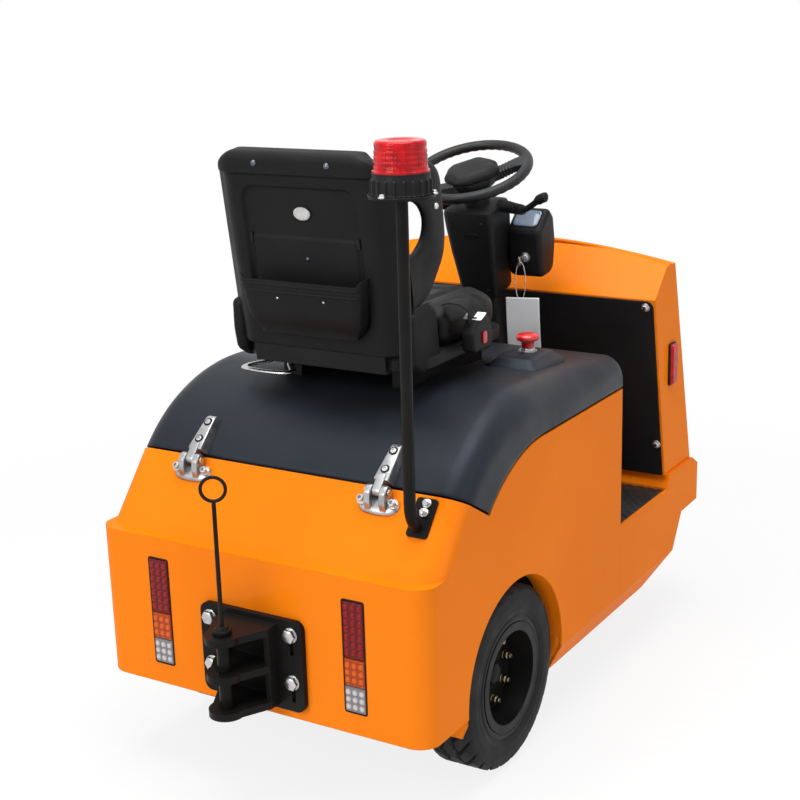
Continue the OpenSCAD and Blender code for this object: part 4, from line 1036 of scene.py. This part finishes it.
clips = joined(*[onBack(clip, x, panelY + 1, backSetup["crease"] - 4) for x in (-122, 122)])
makePiece("creaseClips", backPlaced(clips), "hood_lid", "black_plastic", 40)

# document pocket: a trough whose three walls lean out, with three ribs under its lip
pocketSetup = {"foot": 74.3, "high": 112, "half": (122, 139), "deep": (20, 34), "wall": 3.5}


def pocketShape(s):
    # U-shaped plan carried up and out; ribs swell under the lip, and the lip rises at both ends
    back = -backSetup["deep"] + 6
    t = np.concatenate([np.zeros(6), np.linspace(0, 1, 60)])[:, None]
    shrink = np.concatenate([np.linspace(0.02, 0.94, 6), np.ones(60)])[:, None]
    plan = roundedOutline([(-1, 0), (-1, -1), (1, -1), (1, 0), (0, 3)], [0.001, 0.18, 0.18, 0.001, 0.001], 16)
    u = evened(plan[17:68], 161, closed=False)
    foot = 1 - 0.10 * (1 - ramp(t, 0, 0.3))
    half = (s["half"][0] + (s["half"][1] - s["half"][0]) * t) * foot
    deep = s["deep"][0] + (s["deep"][1] - s["deep"][0]) * ramp(t, 0, 0.45)
    ribs = 1.5 * sum(1 - ramp(np.abs(t - c), 0.008, 0.022) for c in (0.80, 0.86, 0.92))
    out = (deep + 6 + ribs) * shrink
    ears = 9 * ramp(np.abs(u[None, :, 0]), 0.90, 1.0) * ramp(t, 0.85, 1.0)
    x = u[None, :, 0] * half * (0.4 + 0.6 * shrink)
    y = back + u[None, :, 1] * out
    z = s["foot"] + s["high"] * t + ears
    return gridShape(np.stack([x, y, z + 0 * x], -1))


makePiece("documentPocket", backPlaced(pocketShape(pocketSetup)), "hood_lid", "black_hood", 50,
          ["document_pocket"], wall=pocketSetup["wall"], finish="seatPlastic")
pocketDots = joined(*[onBack(domeScrew(5, 1.6), x, -backSetup["deep"] - 33.5, 152) for x in (-52, 54)])
makePiece("pocketRivets", backPlaced(pocketDots), "hood_lid", "zinc_steel", 40)

# side wings: a padded band from the shell's upper corner down and back to its foot, round a grab hole
wingSetup = {"x": 196, "thick": 10, "bow": 6}


def wingShape(s):
    # matched points on an outer and an inner curve, with a soft squarish section between each pair
    outer = evened(roundedOutline([(-14, 384), (122, 384), (119, 205), (46, 128), (-14, 120), (-400, 260)],
                                  [1, 48, 90, 70, 1, 1], 12)[12:59], 90, closed=False)
    hole = smoothPath([(-14, 330), (14, 327), (44, 310), (58, 280), (48, 248), (20, 228), (-14, 222)], 80)
    inner = evened(hole, 90, closed=False)
    phi = np.linspace(0, 2 * np.pi, 28, endpoint=False)
    c, d = (np.sign(f) * np.abs(f) ** 0.55 for f in (np.cos(phi), np.sin(phi)))
    middle, reach = (outer + inner) / 2, (outer - inner) / 2
    place = middle[:, None] + reach[:, None] * c[None, :, None]
    share = np.linspace(0, 1, 90)[:, None]
    x = s["x"] + s["bow"] * np.sin(np.pi * share) * ramp(place[..., 0], 0, 90) + s["thick"] * d[None]
    return gridShape(np.concatenate([x[..., None], place], -1), wrapV=True, lids=(0, -1))


# rounded covers that stand proud of the shell's two lower corners
coverOutline = roundedOutline([(-34, 118), (-42, 60), (-40, 16), (-12, -8), (62, 2), (62, 102), (40, 122)],
                              [14, 60, 22, 18, 10, 16, 16], 7)
footCovers = bothSides(uprightSlab(coverOutline, 182, 211, 11))
makePiece("footCovers", backPlaced(footCovers), "hood_lid", "black_plastic", 40, finish="seatPlastic")
makePiece("hipWings", backPlaced(bothSides(wingShape(wingSetup))), "hood_lid", "black_vinyl", 50,
          ["hip_restraints"])
print("backrest shell, pocket and wings made")

# padded pieces: a smaller start shape swells under pressure, its movement capped, then one subdivision
padSim = {"voxel": 0.006, "pressure": 4.0, "frames": 20, "cap": 0.014}


def paddedPiece(name, shape, body, node, crease):
    # even quads, then cloth under pressure, then the sewn channels and the smoothing
    piece = makePiece(name, shape, body, "black_vinyl", 80, [node])
    grid = piece.modifiers.new("grid", "REMESH")
    grid.mode, grid.voxel_size = "VOXEL", padSim["voxel"]
    swollen(piece)
    mesh = piece.data
    count = len(mesh.vertices)
    start = np.empty(count * 3)
    mesh.vertices.foreach_get("co", start)
    start = start.reshape(-1, 3)
    cloth = piece.modifiers.new("cloth", "CLOTH")
    cloth.settings.use_pressure, cloth.settings.uniform_pressure_force = True, padSim["pressure"]
    cloth.settings.effector_weights.gravity = 0
    cloth.point_cache.frame_start, cloth.point_cache.frame_end = 1, padSim["frames"]
    for step in range(1, padSim["frames"] + 1):
        bpy.context.scene.frame_set(step)
    swollen(piece)
    end = np.empty(count * 3)
    piece.data.vertices.foreach_get("co", end)
    move = end.reshape(-1, 3) - start
    length = np.linalg.norm(move, axis=1, keepdims=True)
    move = move * np.minimum(1, padSim["cap"] / np.maximum(length, 1e-9))
    piece.data.vertices.foreach_set("co", crease(start + move).ravel())
    piece.data.polygons.foreach_set("use_smooth", np.ones(len(piece.data.polygons), bool))
    piece.data.update()
    smooth = piece.modifiers.new("smooth", "SUBSURF")
    smooth.levels = smooth.render_levels = 1
    bpy.context.scene.frame_set(1)


def swollen(piece):
    # the evaluated mesh takes the place of the base mesh, and the modifiers go
    shape = bpy.data.meshes.new_from_object(piece.evaluated_get(bpy.context.evaluated_depsgraph_get()))
    old = piece.data
    piece.modifiers.clear()
    piece.data = shape
    bpy.data.meshes.remove(old)
    piece.data.name = piece.name


def channels(across, along, half, seam):
    # depth of the sewn lines: one at half on each side, and one across between them at the seam
    outside = 60 * (np.abs(across) > half)
    away = np.minimum(np.abs(np.abs(across) - half), np.abs(along - seam) + outside)
    return 7 * np.exp(-(away / 7) ** 2)


def seatCrease(points):
    # sewn channels: two lines along the cushion and one across, pulled down where the top is near
    p = points * 1000 + (0, datum, 0)
    top = ramp(p[:, 2], 890, 902)
    pull = channels(p[:, 0], p[:, 1], 128, 560) * top
    return points - np.stack([0 * pull, 0 * pull, pull], -1) / 1000


def padCrease(points):
    # the same channels on the backrest pad's front
    p = points * 1000 + (0, datum, 0)
    lean = np.radians(backSetup["lean"])
    x, forward, up = (p - backSetup["origin"]).T
    y = forward * np.cos(lean) + up * np.sin(lean)
    z = up * np.cos(lean) - forward * np.sin(lean)
    pull = channels(x, z, 104, 230) * ramp(y, 36, 48)
    return points - np.stack([0 * pull, pull * np.cos(lean), pull * np.sin(lean)], -1) / 1000


cushionOutline = roundedOutline([(-141, 301), (141, 301), (164, 324), (164, 384), (217, 400), (217, 646),
                                 (-217, 646), (-217, 400), (-164, 384), (-164, 324)],
                                [20, 20, 10, 5, 30, 75, 75, 30, 5, 10], 8)
cushion = slab(cushionOutline, softLevels(840, 905, 20))
paddedPiece("seatCushion", cushion, "hood_lid", "seat_cushion", seatCrease)
padOutline = roundedOutline([(-138, -28), (138, -28), (160, -6), (160, 40), (-160, 40), (-160, -6)],
                            [20, 20, 10, 34, 34, 10], 8)
backPad = slab(padOutline, softLevels(114, 392, 26))
paddedPiece("backPad", backPlaced(backPad), "hood_lid", "backrest_pad", padCrease)
print("cushion and pad swollen")

# seat fittings: slide handle, belt block with its buckle, knob and blank label
handlePath = smoothPath([(-128, 354, 790), (-122, 330, 788), (-96, 298, 786), (-88, 280, 786),
                         (-97, 267, 786), (-142, 262, 786), (-187, 267, 786), (-199, 280, 786),
                         (-195, 300, 787), (-178, 328, 788), (-172, 348, 790)], 90)
slideHandle = swept(handlePath, ring(1.0, 16) * (3.5, 7.5), (0, 0, 1))
makePiece("slideHandle", slideHandle, "hood_lid", "zinc_steel", 50, ["slide_handle"])
beltSetup = {"block": (226, 420, 826), "buckle": (-238, 445, 905), "press": (-238, 445, 951),
             "tongue": (254, 452, 836), "label": (241, 447, 896), "knob": (213, 520, 828)}
blockOutline = roundedOutline([(0, 0), (74, 0), (80, 30), (62, 66), (18, 70), (-4, 40)],
                              [10, 10, 12, 16, 16, 12], 6)
block = uprightSlab(blockOutline, 0, 28, 5, beltSetup["block"])
strap = box(-23, 23, -1.4, 1.4, 1.3, 3)
strapPath = smoothPath([(240, 446, 890), (238, 440, 912), (226, 430, 924), (206, 424, 926),
                        (190, 420, 921)], 40)
loopPath = smoothPath([(-232, 455, 830), (-240, 452, 868), (-240, 448, 900), (-236, 444, 922)], 40)
makePiece("beltBlock", block, "hood_lid", "black_plastic", 40, ["seat_belt"])
straps = joined(*[swept(path, strap, (0, 1, 0)) for path in (strapPath, loopPath)])
makePiece("beltStraps", straps, "hood_lid", "black_vinyl", 60, finish="beltWeb")
buckle = uprightSlab(box(-15, 15, 0, 52, 5, 5), -9, 9, 4, beltSetup["buckle"])
press = uprightSlab(box(-11, 11, 0, 9, 2.5, 5), -6, 6, 2, beltSetup["press"])
beltTongue = uprightSlab(box(0, 15, 4, 28, 4, 5), 0, 3.5, 1, beltSetup["tongue"])
makePiece("beltBuckle", buckle, "hood_lid", "black_plastic", 40)
makePiece("buckleButton", joined(press, beltTongue), "hood_lid", "red_button", 40)
label = slab(box(-20, 20, -13, 13, 3, 4), [(0, 0), (0, 0.8), (0.6, 1.0)])
makePiece("blankLabel", tilted(label, beltSetup["label"], 24), "hood_lid", "clear_lens", 40,
          finish="whiteCard")
knob = turned([(0, 22), (9, 21), (12, 17), (12, 11), (7, 8), (5, 0), (0, 0)], 28)
knob = repeated(knob, [beltSetup["knob"]], (1, 0, 0))
makePiece("seatKnob", knob, "hood_lid", "black_plastic", 40)
print("seat fittings made")

# steering wheel in its own frame (rim plane at nought, shaft down)
wheelSetup = {"centre": (0, 880, 1115), "rake": 21, "rim": 127.5, "grip": 12.2, "spokes": (27, 243)}


def wheelRim(s):
    # a tube round the rim's circle, flattened a little, with shallow finger waves underneath
    a = np.linspace(0, 2 * np.pi, 192, endpoint=False)[:, None]
    b = np.linspace(0, 2 * np.pi, 28, endpoint=False)[None]
    under = ramp(-np.sin(b), 0.2, 0.9)
    r = s["grip"] * (1 - 0.05 * under * (1 + np.cos(40 * a)))
    reach = s["rim"] + r * np.cos(b)
    points = np.stack([reach * np.cos(a), reach * np.sin(a), 0.94 * r * np.sin(b)], -1)
    return gridShape(points, wrapU=True, wrapV=True)


def wheelSpoke(angle):
    # a bar that dips from the rim to the hub, broad at both ends, with cross ribs near the rim
    t = np.linspace(0, 1, 60)
    path = np.stack([36 + 84 * t, 0 * t, -17 + 15 * ramp(t, 0.1, 0.95)], -1)
    ribs = 0.7 * np.sin(t * 75) * ramp(t, 0.30, 0.36) * (1 - ramp(t, 0.62, 0.68))
    wide = 22 - 5 * np.sin(np.pi * np.clip(t * 1.1, 0, 1)) + ribs
    bar = box(-1, 1, -1, 1, 0.45, 6)
    shape = swept(path, bar[None] * np.stack([wide, 11.5 - 2 * t + ribs], -1)[:, None], (0, 1, 0))
    return turnedWheel(shape, angle)


def turnedWheel(shape, angle):
    # turned by angle degrees about the shaft
    c, d = np.cos(np.radians(angle)), np.sin(np.radians(angle))
    return shape[0] @ np.array([[c, d, 0], [-d, c, 0], [0, 0, 1]]), shape[1]


def hubPad(levels):
    # one faceted outline scaled about its middle at each level
    corners = [(40, 47), (64, 6), (54, -36), (27, -50), (-27, -50), (-54, -36), (-64, 6), (-40, 47)]
    outline = roundedOutline(corners, [16] * 8, 5)
    scales, heights = zip(*levels)
    return turnedWheel(stacked([outline * scale for scale in scales], heights), 45)


padLow = hubPad([(0.50, -42), (0.62, -40), (0.80, -30), (0.94, -16), (0.97, -10), (0.96, -8.5), (0.80, -7)])
padHigh = hubPad([(0.80, -8), (0.985, -6.5), (1.0, -4), (0.99, 0), (0.95, 4), (0.80, 11), (0.76, 12.3),
                  (0.71, 13), (0.40, 14.2), (0.10, 14.6)])


def onWheel(shape):
    # from the wheel's own frame to the sketch's
    return tilted(shape, wheelSetup["centre"], wheelSetup["rake"])


hubShaft = turned([(0, -120), (12, -120), (12, -60), (20, -58), (24, -44), (24, -36), (0, -36)], 40)
handWheel = joined(wheelRim(wheelSetup), *[wheelSpoke(a) for a in wheelSetup["spokes"]], padLow, hubShaft)
makePiece("handWheel", onWheel(handWheel), "hand_wheel", "black_plastic", 35, ["steering_wheel"],
          finish="wheelRubber")
makePiece("hubPad", onWheel(padHigh), "hand_wheel", "black_plastic", 25)

# column: a shroud that narrows downwards over a tube, with a collar under the wheel and a boot on the floor
columnSetup = {"rake": 14, "top": -76}


def onColumn(shape):
    # from the column's own frame to the sketch's
    return tilted(shape, wheelSetup["centre"], columnSetup["rake"])


def shroudShape(s):
    # rounded rectangle carried down the column, narrowing, with soft rims at both ends
    square = box(-1, 1, -1, 1, 0.30)
    z = np.array([-1, 0, 3, 10, 40, 100, 170, 204, 212, 216])
    inset = np.array([24, 8, 2, 0, 0, 0, 0, 0, 3, 9])
    wide = 62 - 15 * ramp(z, 10, 216) - inset
    deep = 53 - 9 * ramp(z, 60, 216) - inset
    return stacked(square[None] * np.stack([wide, deep], -1)[:, None], s["top"] - z)


tube = turned([(0, -895), (32, -895), (32, -300), (36, -296), (36, -288), (0, -288)], 48)
collar = turned([(12.2, -112), (29, -112), (29, -72), (27, -66), (24, -52), (22, -47), (12.2, -47)], 48)
column = joined(onColumn(joined(shroudShape(columnSetup), tube)), onWheel(collar))
makePiece("columnShroud", column, "chassis", "black_plastic", 35, ["steering_column"])
slotPlate = slab(box(-20, 20, -5, 5, 4.5, 5), softLevels(0, 3, 1))
screwPlaces = [(-38, -52.5, -104), (38, -52.5, -104), (-30, -46, -268), (30, -46, -268)]
shroudScrews = joined(onBack(slotPlate, 8, -51.5, -132),
                      *[onBack(domeScrew(9, 2.6), *p) for p in screwPlaces])
makePiece("shroudScrews", onColumn(shroudScrews), "chassis", "black_steel", 40)
boot = turned([(60, -756), (60, -750), (48, -744), (50, -736), (42, -730), (44, -722), (36, -716), (34, -704),
               (30, -700)], 48)
makePiece("columnBoot", onColumn(boot), "chassis", "rubber_mat", 50)


# stalks: ribbed bellows out of the shroud, a bent rod and a grip
def stalkShape():
    # radius along the rod: bellows waves, a thin rod, then a flattened grip
    t = np.linspace(0, 1, 160)
    path = np.stack([54 + 124 * t, 10 - 4 * t, -82 - 6 * ramp(t, 0.0, 0.5) + 34 * ramp(t, 0.45, 1.0)], -1)
    r = np.where(t < 0.50, 14 - 8 * t + 1.7 * np.sin(t * 140), 0)
    r = np.maximum(r, 7.0 + 4.0 * ramp(t, 0.74, 0.84))
    r = r * np.sqrt(np.clip(1 - np.clip((t - 0.965) / 0.035, 0, 1) ** 2, 0.04, 1))
    return swept(path, ring(1.0, 24)[None] * r[:, None, None], (0, 0, 1))


stalks = onColumn(bothSides(stalkShape()))
makePiece("stalks", stalks, "chassis", "black_plastic", 50, ["control_stalks"])

# instrument pod: a rounded block beside the shroud, its top tipped towards the driver, with a blank display
podSetup = {"origin": (52, 955, 868), "tilt": 8, "wide": 86, "screen": (43, 33, 131.2), "screenLean": 33.3,
            "key": (48, 0, 50)}


def onPod(shape):
    # from the pod's own frame to the sketch's
    return tilted(shape, podSetup["origin"], podSetup["tilt"])


podProfile = roundedOutline([(0, 0), (66, -2), (86, 70), (84, 126), (64, 152), (0, 110)],
                            [22, 30, 40, 20, 14, 16], 8)
pod = onPod(uprightSlab(podProfile, 0, podSetup["wide"], 13, steps=7))
makePiece("instrumentPod", pod, "chassis", "black_plastic", 45, ["instrument_pod"])
screen = slab(box(-30, 30, -23, 23, 9, 6), [(0, 0), (0, 1.4), (1, 2.2), (3, 2.4)])
bezelPlate = slab(box(-34, 34, -27, 27, 11, 6), softLevels(-1.0, 1.2, 0.8))
screen, bezelPlate = (onPod(tilted(shape, podSetup["screen"], podSetup["screenLean"]))
                      for shape in (screen, bezelPlate))
makePiece("podScreen", screen, "chassis", "clear_lens", 40, finish="displayGlass")
makePiece("podBezel", bezelPlate, "chassis", "black_steel", 40)

# key switch with its key, a ring and a blank card tag
keyFace = turned([(0, 9), (8, 9), (9, 8), (9, 4), (12, 3), (12, 0), (0, 0)], 36)
keyBow = slab(box(-2, 2, -10, 10, 1, 3), softLevels(8, 34, 1))
key = onPod(onBack(joined(keyFace, keyBow), *podSetup["key"]))
makePiece("keySwitch", key, "chassis", "zinc_steel", 40, ["ignition_key"])
loopAngle = np.linspace(0, 2 * np.pi, 48, endpoint=False)
loopSide, loopUp = np.sin(loopAngle)[:, None] * (11, 3, 0), np.cos(loopAngle)[:, None] * (0, 0, 44)
loop = swept(loopSide + loopUp + (103, 916, 868), ring(1.2, 8), (0, 1, 0), closed=True)
makePiece("keyRing", loop, "chassis", "zinc_steel", 60)
tagSetup = {"top": (109, 914, 832), "half": 42, "long": 128}


def tagShape(s):
    # a thin card that bends slightly along its length
    u, v = np.linspace(-s["half"], s["half"], 24)[None], np.linspace(0, 1, 40)[:, None]
    x, y, z = s["top"]
    bent = y + 7 * v ** 2 + 2.5 * np.cos(u / s["half"] * 1.3) * v
    return gridShape(np.stack([x + u + 2 * v, bent, z - s["long"] * v + 0.06 * u], -1))


makePiece("blankTag", tagShape(tagSetup), "chassis", "clear_lens", 60, wall=0.5, finish="whiteCard")
print("steering, pod and key made")

# floor mat with rows of low oblong studs
matSetup = {"half": 373, "rows": (858.2, 1134.8), "low": 340.2, "high": 346, "stud": 1.6, "pitch": (26, 14)}


def matShape(s):
    # height = a flat sheet plus oblong studs on a staggered lattice
    u = np.linspace(-s["half"], s["half"], 240)[None]
    v = np.linspace(*s["rows"], 120)[:, None]
    pitchU, pitchV = s["pitch"]
    row = (v - s["rows"][0]) / pitchV
    cu = np.abs(((u / pitchU + 0.5 * (np.floor(row) % 2)) % 1) - 0.5) * pitchU
    cv = np.abs((row % 1) - 0.5) * pitchV
    z = s["high"] - s["stud"] + s["stud"] * (1 - ramp(np.hypot(np.maximum(cu - 5, 0), cv), 3.0, 4.6))
    z[[0, -1]], z[:, [0, -1]] = s["low"], s["low"]
    return gridShape(np.stack([u + 0 * v, v + 0 * u, z], -1))


makePiece("floorMat", matShape(matSetup), "chassis", "rubber_mat", 60, ["floor_mat"])

# cowl trim: a rolled bead along the crown, a skin and bolts on the dark panel behind the cowl
cowlSetup = {"half": 372, "drop": 40, "bead": 5, "brow": (1162, 926), "toe": (1300, 380),
             "panelTop": (1054, 820), "panelFoot": (1137, 380)}
cowlRun = (cowlSetup["toe"][0] - cowlSetup["brow"][0]) / (cowlSetup["brow"][1] - cowlSetup["toe"][1])


def crownBead(s):
    # a round bar along an arc across the crown, set back down the front's slope where the arc falls
    browY, crown = s["brow"]
    x = np.linspace(-s["half"] + 2, s["half"] - 2, 90)
    radius = (s["half"] ** 2 + s["drop"] ** 2) / (2 * s["drop"])
    z = crown - radius + np.sqrt(radius ** 2 - x ** 2)
    y = browY - 2 - (crown - z) * cowlRun
    return swept(np.stack([x, y - 3, z - 1.5], -1), ring(s["bead"], 14), (0, 0, 1))


makePiece("crownBead", crownBead(cowlSetup), "chassis", "orange_paint", 60)
panelTop, panelFoot = cowlSetup["panelTop"], cowlSetup["panelFoot"]
panelLean = np.degrees(np.arctan2(panelFoot[0] - panelTop[0], panelTop[1] - panelFoot[1]))
panelOutline = roundedOutline([(-367, 1), (367, 1), (367, 444), (-367, 444)], [3, 3, 16, 16], 8)
panelSkin = onBack(slab(panelOutline, softLevels(-1.5, 2.5, 1)))
makePiece("panelSkin", tilted(panelSkin, (0, *panelFoot), panelLean), "chassis", "black_plastic", 35)
boltPlaces = [(side * x, -2.4, z) for side in (-1, 1) for x, z in ((357, 84), (349, 430))]
panelBolts = repeated(hexBolt(13, 6, 20), boltPlaces, (0, -1, 0))
makePiece("panelBolts", tilted(panelBolts, (0, *panelFoot), panelLean), "chassis", "zinc_steel", 30)

# side marker lamps: a ribbed lens on a thin base
markerSetup = {"half": (17, 48), "place": (1160, 650), "face": 378.0, "foot": 374.5, "base": 371.8}


def markerLens(s):
    # face height = a soft-edged block with ribs across it
    (halfU, halfV), (y, z) = s["half"], s["place"]
    u, v = np.linspace(-halfU, halfU, 60)[None], np.linspace(-halfV, halfV, 190)[:, None]
    rim = -boxDistance(u, v, halfU, halfV, 4)
    ribs = 0.8 * np.abs(np.sin(v * np.pi / 4.6)) * ramp(rim, 3, 4.5)
    x = s["face"] + 5.2 * ramp(rim, 0, 4) + ribs
    x[[0, -1]], x[:, [0, -1]] = s["foot"], s["foot"]
    return gridShape(np.stack([x, y + u + 0 * v, z + v + 0 * u], -1))


markerBase = uprightSlab(box(-19, 19, -50, 50, 5, 5), 0, 6, 1.5, (markerSetup["base"], *markerSetup["place"]))
makePiece("markerLens", bothSides(markerLens(markerSetup)), "chassis", "red_lens", 60, ["marker_lamps"])
makePiece("markerBase", bothSides(markerBase), "chassis", "black_plastic", 40)

# headlamps: a bright ring round a lens with upright flutes
headSetup = {"lens": 52, "x": 210, "z": 640}


def headLens(s):
    # shallow dome with flutes across its width
    r, a = np.linspace(0, s["lens"], 40)[:, None], np.linspace(0, 2 * np.pi, 96, endpoint=False)[None]
    x, y = r * np.cos(a), r * np.sin(a)
    h = 6.5 - 5 * (r / s["lens"]) ** 2 + 0.5 * np.abs(np.sin(x * np.pi / 7)) * (1 - ramp(r, 42, 50))
    return gridShape(np.stack([x, y, h + 0 * a], -1), wrapV=True, lids=(-1,))


headRing = turned([(51, 2), (52, 8), (55, 10.5), (60, 10), (63, 6), (63, 0.5), (51, 0.5)], 72)
headBody = turned([(0, -40), (40, -40), (55, -10), (55, 2), (0, 2)], 48)


def onFront(shape):
    # a copy of the shape at each headlamp's place on the cowl's sloping front
    y = cowlSetup["toe"][0] - (headSetup["z"] - cowlSetup["toe"][1]) * cowlRun
    lean = np.degrees(np.arctan(cowlRun)) - 90
    return joined(*[tilted(shape, (side * headSetup["x"], y, headSetup["z"]), lean) for side in (-1, 1)])


makePiece("headLenses", onFront(headLens(headSetup)), "chassis", "clear_lens", 40)
makePiece("headRings", onFront(joined(headRing, headBody)), "chassis", "cast_alloy", 35, ["headlamps"])

# rubber bars across the two pedals
treadSetup = {"x": (110, 210), "foot": (1010, 377), "lean": 40, "pitch": 12, "count": 8}


def pedalTreads(s):
    # one bar repeated up each pedal's slope
    bar = slab(box(-33, 33, 3, 9, 2.5, 3), softLevels(10, 13, 1))
    (y, z), lean = s["foot"], np.radians(s["lean"])
    steps = [(y + up * np.cos(lean), z + up * np.sin(lean)) for up in np.arange(s["count"]) * s["pitch"]]
    return joined(*[tilted(bar, (x, *step), s["lean"]) for x in s["x"] for step in steps])


makePiece("pedalTreads", pedalTreads(treadSetup), "chassis", "rubber_mat", 50)

# wheel wells: a plain strip round each arch from its flange in to the inner wall, and the flange's two feet
wellSetup = {"middle": (351, 200), "turn": (-21, 196), "fold": (178, 125, 25), "skirt": 377,
             "strip": (206, (334, 238)), "flange": (203, (377, 300)), "feet": ((-21, 1), (179, 196))}


def wellStrip(s, radius, sides, first, last):
    # part of a round band; its outer edge moves in with the skirt's fold
    a, t = np.radians(np.linspace(first, last, 60))[:, None], np.linspace(0, 1, 6)[None]
    z = s["middle"][1] + radius * np.sin(a)
    high, low, turnIn = s["fold"]
    outer = np.minimum(sides[0], s["skirt"] - turnIn * np.clip((high - z) / (high - low), 0, 1))
    y = s["middle"][0] + radius * np.cos(a)
    return gridShape(np.stack([outer + (sides[1] - outer) * t, y + 0 * t, z + 0 * t], -1))


wells = bothSides(wellStrip(wellSetup, *wellSetup["strip"], *wellSetup["turn"]))
makePiece("wellStrips", wells, "chassis", "black_plastic", 60, wall=2)
flangeFeet = joined(*[wellStrip(wellSetup, *wellSetup["flange"], *turn) for turn in wellSetup["feet"]])
makePiece("flangeFeet", bothSides(flangeFeet), "chassis", "orange_paint", 60, wall=2)
print("floor, cowl trim and front lamps made")
